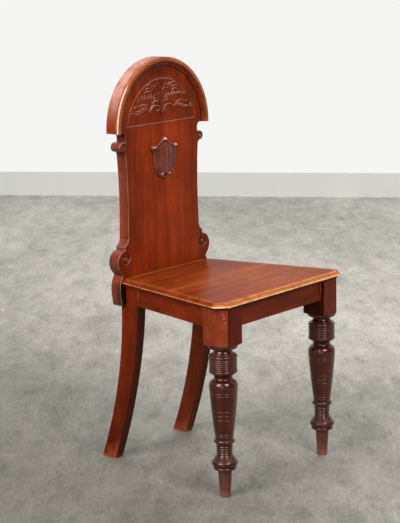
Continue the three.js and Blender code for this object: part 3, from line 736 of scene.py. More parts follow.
@dataclass(frozen=True)
class Wood:
    """A polished wood with the stripes, fibres and pores of its grain, worn at edges and dark in hollows,
    with painted shade and painted highlights mixed into its colour.
    """

    name: str
    grain: Grain
    dark: Tone
    middle: Tone
    light: Tone
    worn: Tone
    bare: Tone = (232, 184, 138)
    stripe: float = 26
    stripe_length: float = 14
    fibre: float = 1.6
    fibre_length: float = 34
    contrast: float = 1.0
    roughness: float = 0.42
    specular: float = 0.14
    sheen: Tone = (255, 170, 130)
    coat: float = 0.05
    coat_roughness: float = 0.12
    wear: float = 0.35
    grime: float = 0.75
    relief: float = 0.12
    bloom: float = 0
    foot_shade: float = 1
    seed: float = 0
    seed_ways: Triple = (1, 1.7, 0.6)
    drift: float = 0.02
    drift_scale: float = 9
    cloud_scale: float = 12
    cloud_tones: Pair = (0.82, 1.12)
    pore: float = 0.55
    pore_length: float = 22
    pore_share: float = 0.45
    foot_heights: Pair = (0.03, 0.42)
    grime_tone: Tone = (24, 9, 6)
    patch_scale: float = 34
    streak: float = 5
    streak_length: float = 9
    top_highlight_tone: Tone = (186, 146, 136)
    dull: float = 0.09
    worn_dull: float = 0.12
    fibre_relief: float = 0.35
    bump: float = 0.0004
    glass: float = 1.5

    def along(self, width: float, length: float) -> Triple:
        """Scale of a pattern that is drawn out along the grain.

        Args:
            width: Width of a wave across the grain in millimetres.
            length: How many times as long it is along the grain.

        Returns:
            The scale on X, Y and Z.
        """
        scale = [1 / (width * MM)] * 3
        scale[self.grain.value] /= length
        return tuple(scale)

    def material(self) -> Material:
        """Builds the finish.

        Returns:
            The material.
        """
        made, graph, place = blank(self.name)
        shift = tuple(self.seed * share for share in self.seed_ways)
        waves = {"Vector": graph.scaled(place, (self.drift_scale,) * 3, shift), "Scale": 1.0, "Detail": 1.0}
        drift = graph.node("ShaderNodeTexNoise", waves).outputs["Color"]
        bent = graph.out("ShaderNodeVectorMath", {0: drift, "Scale": self.drift}, operation="SCALE")
        warped = graph.vectors("ADD", place, bent).outputs[0]

        def grained(width: float, length: float, *settings: float) -> NodeSocket:
            """Noise drawn out along the grain."""
            return graph.noise(graph.scaled(warped, self.along(width, length), shift), *settings)

        stripes = grained(self.stripe, self.stripe_length, 3, 0.55, 0.6)
        fibres = grained(self.fibre, self.fibre_length, 4, 0.6)
        pores = graph.spread(grained(self.pore, self.pore_length, 2, 0.6), 0.6, 0.74)
        streaks = graph.spread(grained(self.streak, self.streak_length, 3, 0.6), 0.3, 0.62, 0.6, 1)
        cloud = graph.noise(graph.scaled(place, (self.cloud_scale,) * 3, shift), 3, 0.55)
        patches = graph.noise(graph.scaled(place, (self.patch_scale,) * 3, shift), 4, 0.6)
        uneven = graph.times(graph.spread(patches, 0.3, 0.62, 0.5, 1), streaks)
        band = graph.spread(stripes, 0.5 - 0.3 * self.contrast, 0.5 + 0.3 * self.contrast)
        colour = graph.blend(band, linear(self.dark), linear(self.middle))
        lit = graph.times(graph.spread(fibres, 0.42, 0.72), graph.spread(stripes, 0.4, 0.7, 0.25, 0.8))
        colour = graph.blend(lit, colour, linear(self.light))
        colour = graph.shaded(colour, graph.spread(cloud, 0.3, 0.7, *self.cloud_tones))
        if self.foot_shade < 1:
            height = graph.node("ShaderNodeSeparateXYZ", {0: place}).outputs["Z"]
            colour = graph.shaded(colour, graph.spread(height, *self.foot_heights, self.foot_shade, 1))
        pored = graph.times(pores, self.pore_share)
        colour = graph.blend(pored, colour, linear(self.dark), "MULTIPLY")
        # Painted shade and dark old polish: the hollow share darkens towards a near-black tone.
        hollow = graph.times(graph.attribute(SHADE_AND_GRIME), self.grime, clamp=True)
        colour = graph.blend(hollow, colour, linear(self.grime_tone))
        # Real wear and painted highlights: the wear share lightens towards the worn tone, then the bare tone.
        wear_and_glint_share = graph.times(graph.attribute(WEAR_AND_GLINT), uneven)
        wear_and_glint_share = graph.times(wear_and_glint_share, self.wear, clamp=True)
        colour = graph.blend(wear_and_glint_share, colour, linear(self.worn))
        bared_and_glint_share = graph.spread(graph.times(graph.attribute(WEAR_AND_GLINT), self.wear), 0.68, 0.98)
        bared_and_glint_share = graph.times(bared_and_glint_share, graph.spread(uneven, 0.35, 0.8, 0.35, 0.85))
        colour = graph.blend(bared_and_glint_share, colour, linear(self.bare))
        # Painted highlight: faces that look up are lightened towards a pale tone, as if the bright room above
        # lit them.
        if self.bloom:
            normal = graph.node("ShaderNodeNewGeometry").outputs["Normal"]
            upward = graph.node("ShaderNodeSeparateXYZ", {0: normal}).outputs["Z"]
            top_highlight_share = graph.times(graph.times(graph.spread(upward, 0.0, 0.7), self.bloom), uneven)
            colour = graph.blend(top_highlight_share, colour, linear(self.top_highlight_tone))
        plain = graph.maths("MULTIPLY_ADD", graph.spread(cloud, 0.35, 0.75), self.dull, self.roughness)
        rough = graph.maths("MULTIPLY_ADD", wear_and_glint_share, self.worn_dull, plain)
        height = graph.maths("MULTIPLY_ADD", pores, -1.0, graph.times(fibres, self.fibre_relief))
        graph.surface(height, self.relief, self.bump, {
            "Base Color": colour, "Roughness": rough, "IOR": self.glass, "Specular IOR Level": self.specular,
            "Specular Tint": linear(self.sheen), "Coat Weight": self.coat,
            "Coat Roughness": self.coat_roughness, "Coat IOR": self.glass,
        })
        return made


@dataclass(frozen=True)
class Metal:
    """Iron or steel with a worn, spotted surface."""

    name: str
    bare: Tone
    rusted: Tone
    roughness: float
    rust_roughness: float = 0.25
    spot_scale: Triple = (700, 700, 700)
    line_scale: Triple = (2600, 300, 2600)
    metallic: float = 0.9

    def material(self) -> Material:
        """Builds the finish.

        Returns:
            The material.
        """
        made, graph, place = blank(self.name)
        spots = graph.noise(graph.scaled(place, self.spot_scale), 4, 0.65)
        lines = graph.noise(graph.scaled(place, self.line_scale), 2, 0.5)
        colour = graph.blend(graph.spread(spots, 0.5, 0.68), linear(self.bare), linear(self.rusted))
        rough = graph.spread(spots, 0.3, 0.7, self.roughness, self.roughness + self.rust_roughness)
        inputs = {"Base Color": colour, "Roughness": rough, "Metallic": self.metallic}
        graph.surface(lines, 0.15, 0.0001, inputs)
        return made


class Finishes:
    """Every finish of the chair, built once each."""

    def __init__(self) -> None:
        """Builds the materials from palettes of a dark, a middle, a light and a worn tone."""
        bright = (116, 36, 10), (152, 54, 16), (178, 76, 28), (188, 108, 80)
        red = (84, 24, 6), (112, 36, 10), (136, 52, 18), (166, 86, 52)
        deep = (54, 12, 5), (88, 23, 9), (114, 36, 14), (164, 80, 50)
        dusk = (46, 12, 6), (74, 21, 11), (98, 33, 17), (152, 100, 86)
        warm = (90, 30, 10), (122, 45, 17), (150, 66, 29), (208, 138, 70)
        brown = (84, 31, 20), (120, 52, 36), (146, 72, 52), (190, 126, 104)
        pale = (120, 88, 56), (156, 120, 80), (184, 148, 104), (190, 156, 116)
        arch = (100, 32, 10), (138, 52, 17), (168, 75, 28), (184, 122, 86)
        plain = (84, 36, 18), (112, 54, 28), (134, 70, 38), (164, 106, 70)
        sawn = (96, 28, 10), (138, 46, 18), (166, 66, 28), (190, 128, 112)
        up, across, along = Grain.UPRIGHT, Grain.ACROSS, Grain.DEEP
        # The panel gets a painted highlight on its faces that look up.
        self.panel = self.wood("Panel mahogany", up, bright, stripe=34, stripe_length=16, seed=1, bloom=0.9)
        self.rail_across = self.wood("Front rail mahogany", across, red, seed=2, wear=1.0)
        self.rail_deep = self.wood("Side rail mahogany", along, red, seed=3, wear=1.0)
        self.leg = self.wood("Sabre leg mahogany", up, red, seed=4, stripe=20, foot_shade=0.6, wear=1.0)
        self.hood = self.wood("Hood mahogany", across, arch, bare=(228, 206, 188), seed=5, roughness=0.38,
                              wear=1.0)
        self.back = self.wood("Board back mahogany", up, plain, stripe=34, seed=1, roughness=0.6, coat=0.0,
                              relief=0.3, grime=0.9)
        self.under = self.wood("Underside mahogany", across, plain, stripe=30, seed=7, roughness=0.66,
                               coat=0.0, relief=0.3)
        self.edge = self.wood("Board edge mahogany", up, sawn, seed=1, coat=0.6, coat_roughness=0.14,
                              wear=0.6, grime=1.0, contrast=0.8)
        self.turned = self.wood("Turned mahogany", up, dusk, seed=6, roughness=0.3, coat=0.85, wear=0.5,
                                coat_roughness=0.13, contrast=0.7, stripe=40)
        self.block = self.wood("Leg block mahogany", up, deep, seed=6, wear=0.6, contrast=0.7, stripe=30)
        self.seat = self.wood("Sitting board mahogany", across, warm, seed=7, stripe=22, stripe_length=20,
                              coat=0.0, coat_roughness=0.13, wear=1.0, bare=(244, 204, 158), specular=0.02,
                              sheen=(255, 190, 110), roughness=0.2, relief=0.06)
        self.carved = self.wood("Carved mahogany", up, brown, seed=8, coat=0.7, wear=0.7,
                                bare=(232, 206, 196))
        self.raw = self.wood("Block wood", along, pale, seed=9, roughness=0.7, coat=0.0, relief=0.4)
        self.steel = Metal("Old steel", (150, 146, 138), (92, 66, 50), 0.38).material()
        self.pins = Metal("Rusted pins", (86, 60, 44), (52, 26, 16), 0.6).material()

    @staticmethod
    def wood(name: str, grain: Grain, palette: Palette, **settings: object) -> Material:
        """The material of one wood."""
        return Wood(name, grain, *palette, **settings).material()


@dataclass
class Profile:
    """The outline of a turned piece from the floor up, as radius and height in millimetres."""

    points: Line = field(default_factory=list)

    def to(self, radius: float, height: float) -> "Profile":
        """A straight stretch."""
        self.points.append((radius, height))
        return self

    def bead(self, height: float, half: float, edge: float, radius: float, steps: int = 10) -> "Profile":
        """A round bead between two heights."""
        for angle in np.linspace(-math.pi / 2, math.pi / 2, steps + 1):
            self.points.append((edge + (radius - edge) * math.cos(angle), height + half * math.sin(angle)))
        return self

    def curve(self, *points: Pair, steps: int = 6) -> "Profile":
        """A smooth line from the last point through others."""
        self.points += through([self.points[-1], *points], steps)[1:]
        return self


@dataclass
class TurnedLegs:
    """The reeded front legs, each turned below a block with one canted corner."""

    block_width: float = 60
    cant: float = 12
    block_bottom: float = 344
    shoulder_radius: float = 34
    shoulder_drop: float = 1.5
    neck: Pair = (19.8, 330.5)
    barrel: Pair = (281.5, 320.5)
    barrel_radius: float = 31.4
    barrel_shoulder: float = 7
    reeds: int = 8
    end_reed: float = 1.6
    reed_depth: float = 1.5
    low_neck: float = 273.5
    urn_top: Pair = (24, 265)
    urn: Pair = (31.6, 252.5)
    taper_end: Pair = (19.6, 134)
    taper_bulge: float = 1.2
    lines: tuple[float, ...] = (141, 145.5, 179.5, 189, 198.5, 234, 240)
    line_width: float = 2.2
    line_depth: float = 0.9
    line_shape: tuple[Pair, ...] = (
        (-0.9, 0), (-0.5, 0.06), (-0.3, 0.7), (0, 1), (0.3, 0.7), (0.5, 0.06), (0.9, 0),
    )
    ring: Triple = (127.5, 4.2, 23.3)
    waist: Pair = (17.3, 104)
    waist_top: Pair = (18.4, 121.5)
    waist_lines: Row = (97, 101.5, 106.5, 112, 117.5)
    waist_line_width: float = 2.4
    step_top: Pair = (19.8, 93)
    step_drop: float = 3.7
    step_growth: float = 2.5
    foot_bead: Triple = (78, 5.6, 28.8)
    groove: Pair = (23, 70.4)
    low_bead: Triple = (66.5, 3.6, 25.4)
    foot_top: Pair = (15.6, 60.5)
    foot_radius: float = 12
    foot_rounding: float = 1.6
    sides: int = 144
    knocks: tuple[Triple, ...] = ((416, -3, 3.2), (407, 1, 4), (398, 4, 2.6), (372, -5, 3.4))
    knock_depth: float = 0.7
    knock_wear: float = 1.8
    arris: float = 1.2
    knock_turn: float = 2.6
    knock_wear_turn: float = 3.2
    cant_wear_and_light: float = 0.8
    outer_wear_and_light: float = 0.7
    front_face_light: float = 0.18
    foot_wear: float = 0.8
    foot_reach: float = 22
    neck_reach: float = 5
    corner_grime: float = 0.75
    turned_grime: float = 0.36
    neck_grime: float = 0.7

    def taper(self, height: float) -> float:
        """Radius of the long taper at a height.

        Args:
            height: The height in millimetres.

        Returns:
            The radius in millimetres.
        """
        share = (height - self.taper_end[1]) / (self.urn[1] - self.taper_end[1])
        straight = self.taper_end[0] + (self.urn[0] - self.taper_end[0]) * share
        return straight + self.taper_bulge * math.sin(math.pi * share)

    def incised(self, profile: Profile, radius: Callable[[float], float], heights: Iterable[float],
                width: float, depth: float) -> None:
        """Cuts a row of lines into a stretch of the outline.

        Args:
            profile: The outline so far.
            radius: Radius of the uncut wood at a height.
            heights: Height of each line.
            width: Width of a line.
            depth: Depth of a line.
        """
        for height in heights:
            for across, down in self.line_shape:
                at = height + across * width
                profile.to(radius(at) - depth * down, at)

    def outline(self) -> Profile:
        """The turning from the floor up to the shoulder under the block.

        Returns:
            The profile.
        """
        made = Profile()
        rounding = self.foot_rounding
        for angle in np.linspace(-math.pi / 2, 0, 5):
            radius = self.foot_radius - rounding + rounding * math.cos(angle)
            made.to(radius, rounding + rounding * math.sin(angle))
        made.curve((13, 20), (14.4, 42), self.foot_top)
        made.to(self.groove[0] * 0.93, self.low_bead[0] - self.low_bead[1])
        made.bead(self.low_bead[0], self.low_bead[1], 22, self.low_bead[2])
        made.to(*self.groove)
        made.to(self.groove[0], self.foot_bead[0] - self.foot_bead[1] - 0.6)
        made.bead(self.foot_bead[0], self.foot_bead[1], 25.6, self.foot_bead[2], 12)
        for step in (2, 1, 0):
            radius = self.step_top[0] + self.step_growth * step
            top = self.step_top[1] - self.step_drop * step
            made.to(radius + self.step_growth * 0.5, top - self.step_drop * 0.95)
            made.bead(top - self.step_drop * 0.5, self.step_drop * 0.36, radius + 0.3, radius + 1.5, 6)
            made.to(radius, top - self.step_drop * 0.05)
        made.curve((17.9, 97.5), self.waist, steps=4)
        slope = (self.waist_top[0] - self.waist[0]) / (self.waist_top[1] - self.waist[1])
        made.points = [point for point in made.points if point[1] < self.waist_lines[0] - 2]
        self.incised(made, lambda z: self.waist[0] + slope * abs(z - self.waist[1]), self.waist_lines,
                     self.waist_line_width, self.line_depth)
        made.to(*self.waist_top)
        made.to(19.4, self.ring[0] - self.ring[1] - 0.2)
        made.bead(self.ring[0], self.ring[1], self.waist_top[0] + 1, self.ring[2])
        made.to(19.3, self.ring[0] + self.ring[1] + 0.3)
        made.to(*self.taper_end)
        self.incised(made, self.taper, self.lines, self.line_width, self.line_depth)
        for height in np.linspace(self.lines[-1] + 3, self.urn[1], 5):
            made.to(self.taper(height), height)
        swell = self.urn[0] - self.urn_top[0]
        rise = self.urn_top[1] - self.urn[1]
        made.curve((self.urn_top[0] + swell * 0.86, self.urn[1] + rise * 0.42),
                   (self.urn_top[0] + swell * 0.5, self.urn[1] + rise * 0.78), self.urn_top)
        made.to(self.urn_top[0] - 0.6, self.urn_top[1] + 0.7)
        made.curve((20.6, 268.5), (self.neck[0], self.low_neck), steps=5)
        self.reeded(made)
        made.curve((20.2, 332.6), (21.6, 334), steps=3)
        made.to(23.4, 334.2)
        for angle in np.radians(np.linspace(-70, 12, 9)):
            made.to(24 + 8.6 * math.cos(angle), 340.2 + 5.6 * math.sin(angle))
        made.to(self.shoulder_radius, self.block_bottom - self.shoulder_drop)
        return made

    def reeded(self, profile: Profile) -> None:
        """Adds the barrel with its row of reeds between the two necks.

        Args:
            profile: The outline so far.
        """
        bottom, top = self.barrel
        pitch = (top - bottom) / (self.reeds - 2 + 2 * self.end_reed)
        edge = self.barrel_radius - self.barrel_shoulder
        middle = (self.barrel_radius + edge) / 2
        profile.to(edge - 0.6, bottom - 3.4)
        profile.bead(bottom - 2.6, 0.8, edge - 0.4, edge + 0.5, 5)
        profile.to(middle - 1, bottom - 1.6)
        profile.bead(bottom - 0.9, 0.7, middle - 0.8, middle + 0.2, 5)
        at = bottom
        for reed in range(self.reeds):
            end = reed in (0, self.reeds - 1)
            size = pitch * (self.end_reed if end else 1)
            depth = self.reed_depth * (1.5 if end else 1)
            outer = self.barrel_radius - (0 if end else 0.9)
            for share in np.linspace(0, 1, 13 if end else 9):
                round_off = 1 - math.sqrt(max(0.0, 1 - (2 * share - 1) ** 2))
                profile.to(outer - depth * round_off, at + size * share)
            at += size
        profile.bead(top + 0.9, 0.7, middle - 0.8, middle + 0.2, 5)
        profile.to(middle - 1, top + 1.6)
        profile.bead(top + 2.6, 0.8, edge - 0.4, edge + 0.5, 5)
        profile.to(edge - 0.6, top + 3.4)
        profile.curve((21.2, 327.4), self.neck, steps=5)

    def block(self, angles: np.ndarray, side: int) -> np.ndarray:
        """Distance of the block's faces from the leg's axis, with softened arrises.

        Args:
            angles: Directions about the axis.
            side: -1 for the left leg, 1 for the right one.

        Returns:
            One distance for each direction.
        """
        half = self.block_width / 2
        cant_away = (2 * half - self.cant) / math.sqrt(2)
        faces = [(0, half), (math.pi, half), (math.pi / 2, half), (-math.pi / 2, half)]
        faces.append((math.atan2(-1, side), cant_away))
        radius = np.full(len(angles), 60.0)
        for direction, away in faces:
            facing = np.cos(angles - direction)
            plane = np.where(facing > 0.3, away / np.maximum(facing, 0.3), 200.0)
            radius = soft_minimum(radius, plane, 1.6)
        return radius

    def directions(self, side: int) -> np.ndarray:
        """Directions about the axis, closer together at the arrises of the block.

        Args:
            side: -1 for the left leg, 1 for the right one.

        Returns:
            The directions in radians.
        """
        half = self.block_width / 2
        inner = half - self.cant
        corners = [(-side * half, half), (side * half, half), (side * half, -inner), (side * inner, -half),
                   (-side * half, -half)]
        fine = np.linspace(-math.pi, math.pi, 4001)
        density = np.full(len(fine), 1.0)
        for x, y in corners:
            density += 9 * bell(turned_from(fine, math.atan2(y, x)), math.radians(2.4))
        total = np.concatenate([[0], np.cumsum((density[1:] + density[:-1]) / 2)])
        return np.interp(np.arange(self.sides) / self.sides * total[-1], total, fine)

    def leg(self, side: int) -> Draft:
        """Draws one leg.

        Args:
            side: -1 for the left leg, 1 for the right one.

        Returns:
            The draft.
        """
        angles = self.directions(side)
        flat = self.block(angles, side)
        corner = self.block_width * math.sqrt(0.5) + 2
        rows = list(self.outline().points)
        shoulder = np.linspace(0, 1, 14)[1:]
        rows += [(self.shoulder_radius + (corner - self.shoulder_radius) * s,
                  self.block_bottom - self.shoulder_drop * (1 - s)) for s in shoulder]
        rows += [(corner, z) for z in np.linspace(self.block_bottom + 2, FRAME_TOP - self.arris, 24)]
        rings = []
        for radius, height in rows:
            reach = np.full(len(angles), radius)
            if height > self.neck[1]:
                reach = soft_minimum(reach, flat, self.arris) - self.knocked(angles, height, side)
            rings.append((reach, height))
        for angle in np.radians([30, 60, 90]):
            height = FRAME_TOP - self.arris * (1 - math.sin(angle))
            rings.append((flat - self.arris * (1 - math.cos(angle)), height))
        rings.append((flat - 3, FRAME_TOP))
        made = Draft()
        axis = side * FRONT_LEG_X
        first, last = made.skin([around(reach, angles, height, axis) for reach, height in rings])
        made.fan(first, len(angles), (axis, 0, 0))
        made.fan(last, len(angles), (axis, 0, FRAME_TOP))
        return made

    def rub(self, mesh: Mesh, side: int) -> None:
        """Lightens the block's canted and outer faces, as wear and painted light, and the right block's front
        face, as painted light; wears the foot; paints shade on the block's inner faces by the rail and
        darkens the necks and the turned parts.

        Args:
            mesh: The mesh of a leg, in metres.
            side: -1 for the left leg, 1 for the right one.
        """
        x, y, z = points_of(mesh).T
        out = (x - side * FRONT_LEG_X) * side
        forward = DRAWING_Y - y
        block = z > self.block_bottom
        half = self.block_width / 2
        # Wear and painted light on the canted corner and the outer faces, painted light on the right block's
        # front face.
        canted = smooth_step((out + forward - self.block_width + self.cant + 1.6) / 1.4) * self.cant_wear_and_light
        outer = smooth_step(out - half + self.arris) * self.outer_wear_and_light
        ahead = smooth_step(forward - half + self.arris) * self.front_face_light * (1 + side)
        share = highest(canted, outer, ahead) * block
        foot = self.foot_wear * bell(z, self.foot_reach) + 0.3 * (z < self.foot_top[1])
        off = self.off_cant(np.arctan2(-forward, x - side * FRONT_LEG_X), side)
        for height, turn, size in self.knocks if side < 0 else ():
            knock = self.knock_wear * bell(off - turn, self.knock_wear_turn, z - height, size)
            share = highest(share, knock * block)
        store(mesh, WEAR_AND_GLINT, highest(kept(mesh, WEAR_AND_GLINT) * (0.45 + 0.55 * block), share, foot))
        # Painted shade on the block's inner faces; the turned parts and the two necks made darker.
        corner = smooth_step(-out - half + self.arris) * block * self.corner_grime
        turned = smooth_step((z - self.urn[1]) / 12) * ~block
        beads = (z > self.foot_top[1]) & (z < self.taper_end[1])
        necks = [self.neck_grime * bell(z - height, self.neck_reach)
                 for height in (self.neck[1], self.low_neck)]
        raised(mesh, SHADE_AND_GRIME, highest(corner, self.turned_grime * np.maximum(turned, beads), *necks))

    @staticmethod
    def off_cant(angles: np.ndarray, side: int) -> np.ndarray:
        """How many degrees each direction lies from the middle of the canted corner."""
        return np.degrees(turned_from(angles, math.atan2(-1, side)))

    def knocked(self, angles: np.ndarray, height: float, side: int) -> np.ndarray:
        """Depth of the knocks on the canted corner of the left block.

        Args:
            angles: Directions about the axis.
            height: The height.
            side: -1 for the left leg, 1 for the right one.

        Returns:
            One depth for each direction.
        """
        depth = np.zeros(len(angles))
        off = self.off_cant(angles, side)
        for place, turn, size in self.knocks if side < 0 else ():
            depth += self.knock_depth * bell(off - turn, self.knock_turn, height - place, size)
        return depth

    def build(self, finishes: Finishes) -> None:
        """Makes both legs, polished dark where they are turned."""
        for word, side in SIDES.items():
            node = f"front_{word}_leg"
            piece = self.leg(side).piece(f"turned_{node}", 50)
            self.rub(piece.data, side)
            heights = rows_of(piece.data.polygons, "center")[:, 2] / MM
            dressed(piece, (finishes.turned, finishes.block), heights > self.block_bottom - 1)
            join_up(piece, finishes.turned, "turned_mahogany", node)


@dataclass
class SeatFrame:
    """The sawn rear legs, the rails and the glued corner blocks, with their edges eased."""

    leg_arris: float = 1.8
    rail_arris: float = 1.3
    block_arris: float = 0.8
    shortest: float = 18
    front_tenon: float = 26
    rear_tenon: float = 16
    seam_width: float = 1.6
    seam_spread: float = 1.6
    seam_wear_and_glint: float = 1.25
    low_seam_wear_and_glint: float = 0.5
    low_seam: float = 9
    front_grime: float = 0.95
    inner_face_light: float = 0.3
    foot_wear: float = 0.7

    def build(self, finishes: Finishes) -> None:
        """Makes the pieces of the frame.

        Args:
            finishes: The chair's finishes.
        """
        pieces = []
        for word in SIDES:
            pieces.append((f"rear_{word}_leg", "sabre", self.leg_arris, finishes.leg, "mahogany"))
            pieces.append((f"{word}_rail", "eased", self.rail_arris, finishes.rail_deep, "mahogany"))
            for end in ("front", "rear"):
                node = f"{end}_{word}_corner_block"
                pieces.append((node, "eased", self.block_arris, finishes.raw, "block_wood"))
        for end in ("front", "rear"):
            pieces.append((f"{end}_rail", "eased", self.rail_arris, finishes.rail_across, "mahogany"))
        for node, word, arris, finish, slot in pieces:
            piece = softened(node, f"{word}_{node}", arris, self.shortest)
            if node.endswith("_rail"):
                self.seam(piece.data, node)
            if word == "sabre":
                self.shade_light_and_wear(piece.data, node == "rear_right_leg")
            join_up(piece, finish, slot, node)

    def shade_light_and_wear(self, mesh: Mesh, right: bool) -> None:
        """Paints shade on the front of a rear leg and painted light on the right one's inner side, and scuffs
        its foot.

        Args:
            mesh: The mesh of the leg, in metres.
            right: Whether it is the right leg.
        """
        normals = normals_of(mesh)
        # Painted shade on the front faces, painted light on the right leg's inner face, and wear at the foot.
        raised(mesh, SHADE_AND_GRIME, self.front_grime * smooth_step((-normals[:, 1] - 0.5) / 0.4))
        inner = self.inner_face_light * smooth_step((-normals[:, 0] - 0.5) / 0.4) * right
        raised(mesh, WEAR_AND_GLINT, np.maximum(inner, self.foot_wear * (points_of(mesh)[:, 2] < 1)))

    def seam(self, mesh: Mesh, node: str) -> None:
        """Lightens a narrow line where a rail meets a leg, less so at its foot, as rubbed polish and a
        painted highlight on the shoulder.

        Args:
            mesh: The mesh of a rail, in metres.
            node: Its node.
        """
        low, high = box_mm(node)
        axis = 0 if high[0] - low[0] > high[1] - low[1] else 1
        tenon = (self.front_tenon, self.rear_tenon) if axis else (self.front_tenon,) * 2
        if node == "rear_rail":
            tenon = (self.rear_tenon,) * 2
        ends = (low[axis] + tenon[0], high[axis] - tenon[1])
        drawn = bmesh.new()
        drawn.from_mesh(mesh)
        cut = Vector((axis == 0, axis == 1, 0))
        wide = self.seam_width * self.seam_spread
        worn = drawn.verts.layers.float.get(WEAR_AND_GLINT)
        for end, inward in zip(ends, (1, -1)):
            for step in (self.seam_width, wide):
                whole = [*drawn.verts, *drawn.edges, *drawn.faces]
                at = cut * (end + inward * step) * MM
                bmesh.ops.bisect_plane(drawn, geom=whole, plane_co=at, plane_no=cut)
        # Rubbed polish and a painted highlight along the shoulder line.
        for vertex in drawn.verts:
            off = min(abs(vertex.co[axis] / MM - end) for end in ends)
            if off < self.seam_width + 0.05:
                high_up = vertex.co.z / MM > low[2] + self.low_seam
                vertex[worn] = self.seam_wear_and_glint if high_up else self.low_seam_wear_and_glint
            elif off < wide + 0.05:
                vertex[worn] = 0.0
        drawn.to_mesh(mesh)
        drawn.free()


@dataclass
class Seat:
    """The two boards of the seat, with the moulded edge that runs round the front and the sides."""

    rear_half: float = 156
    front_half: float = 226
    corner_cut: float = 25
    rear_cut: float = 7
    thumb: Pair = (11, 6.6)
    fillet: float = 1.6
    cove: float = 7
    joint_depth: float = 192
    gap: float = 0.3
    joint_arris: float = 0.35
    cove_steps: int = 8
    thumb_steps: int = 14
    step: float = 4
    dents: int = 26
    dent_seed: int = 11
    lip_wear_and_glint: float = 1.3
    lip_reach: Pair = (1.0, 1.1)
    crown_wear_and_glint: float = 0.6
    crown_reach: float = 3.2
    near_wear: Pair = (0.65, 5)
    far_wear: Pair = (0.14, 45)
    front_band: Pair = (14, 24)
    sat_middle: Pair = (50, 80)
    sat_reach: Pair = (150, 130)
    sat_wear: float = 0.17
    joint_wear: float = 0.33
    rear_wear: float = 0.4
    bead_wear: float = 0.5

    def plan(self, set_in: float) -> np.ndarray:
        """The seat's outline from above, drawn in on every edge but the rear one.

        Args:
            set_in: How far the moulded edges move in.

        Returns:
            Eight corners, from the rear right counter-clockwise.
        """
        rear = BOARD_FACE_Y - self.gap
        corner = SEAT_FRONT_Y + self.corner_cut
        front, back = self.front_half, self.rear_half
        points = np.array([
            (back - self.rear_cut, rear), (-back + self.rear_cut, rear), (-back, rear - self.rear_cut),
            (-front, corner), (-front + self.corner_cut, SEAT_FRONT_Y),
            (front - self.corner_cut, SEAT_FRONT_Y), (front, corner), (back, rear - self.rear_cut),
        ])
        along = np.roll(points, -1, 0) - points
        along /= np.linalg.norm(along, axis=1)[:, None]
        inward = np.stack([-along[:, 1], along[:, 0]], 1)
        away = (inward * points).sum(1) + set_in
        away[0] -= set_in
        moved = []
        for i in range(len(points)):
            sides = np.array([inward[i - 1], inward[i]])
            moved.append(np.linalg.solve(sides, [away[i - 1], away[i]]))
        return np.array(moved)

    def edge(self) -> Line:
        """The moulding from the underside up.

        Returns:
            Distance in and height of each point.
        """
        fillet_bottom = SEAT_TOP - self.thumb[1] - self.fillet
        points = [(self.cove + 4, SEAT_UNDERSIDE)]
        for angle in np.linspace(0, math.pi / 2, self.cove_steps + 1):
            rise = (fillet_bottom - SEAT_UNDERSIDE) * math.sin(angle)
            points.append((self.cove * math.cos(angle), SEAT_UNDERSIDE + rise))
        points.append((0, fillet_bottom + 0.5))
        for angle in np.linspace(0, math.pi / 2, self.thumb_steps + 1):
            set_in = self.thumb[0] * (1 - math.cos(angle))
            points.append((set_in, SEAT_TOP - self.thumb[1] * (1 - math.sin(angle))))
        points.append((self.thumb[0] + 1.5, SEAT_TOP))
        return points

    def dented(self, ring: np.ndarray, height: float) -> np.ndarray:
        """Presses the small dents of long use into the front edge.

        Args:
            ring: One level of a board's edge.
            height: Its height.

        Returns:
            The ring, with its front points moved back a little.
        """
        pressed = ring.copy()
        level = math.exp(-((SEAT_TOP - self.thumb[1] - height) / 3.5) ** 2)
        front = smooth_step((SEAT_FRONT_Y + 4 - ring[:, 1]) / 3)
        chance = np.random.default_rng(self.dent_seed)
        depth = np.zeros(len(ring))
        reach = self.front_half - self.corner_cut - 6
        for _ in range(self.dents):
            place = chance.uniform(-reach, reach)
            wide = chance.uniform(2, 7)
            depth += chance.uniform(0.15, 0.55) * bell(ring[:, 0] - place, wide)
        pressed[:, 1] += depth * level * front
        return pressed

    def board(self, front: bool) -> Draft:
        """Draws one board, cut off at the joint.

        Args:
            front: Whether it is the front board.

        Returns:
            The draft.
        """
        joint = SEAT_FRONT_Y + self.joint_depth
        away = -1 if front else 1
        rings = []
        for set_in, height in self.edge():
            plan = self.plan(set_in)
            eased = self.joint_arris if height > SEAT_TOP - 0.1 else 0
            at = joint + away * (self.gap / 2 + eased)
            left = self.crossing(plan[2], plan[3], at)
            right = self.crossing(plan[6], plan[7], at)
            corners = np.array([left, *plan[3:7], right] if front else [right, plan[7], *plan[:3], left])
            if not rings:
                spans = np.linalg.norm(np.roll(corners, -1, 0) - corners, axis=1)
                counts = np.maximum(np.round(spans / self.step).astype(int), 1)
            flat = []
            for corner, following, count in zip(corners, np.roll(corners, -1, 0), counts):
                flat += [corner + (following - corner) * i / count for i in range(count)]
            ring = self.dented(np.array(flat), height) if front else np.array(flat)
            rings.append(np.column_stack([ring, np.full(len(ring), height)]))
        made = Draft()
        first, _ = made.skin(rings)
        made.cap(first, len(rings[0]))
        top = rings[-1][:, :2]
        strip = Zone(-self.front_half, self.front_half, SEAT_FRONT_Y, SEAT_FRONT_Y + 36, 4)
        whole = Zone(-self.front_half, self.front_half, SEAT_FRONT_Y, BOARD_FACE_Y, 9)
        points, triangles = fill(top, [strip, whole])
        made.patch(np.column_stack([points, np.full(len(points), SEAT_TOP)]), triangles)
        return made

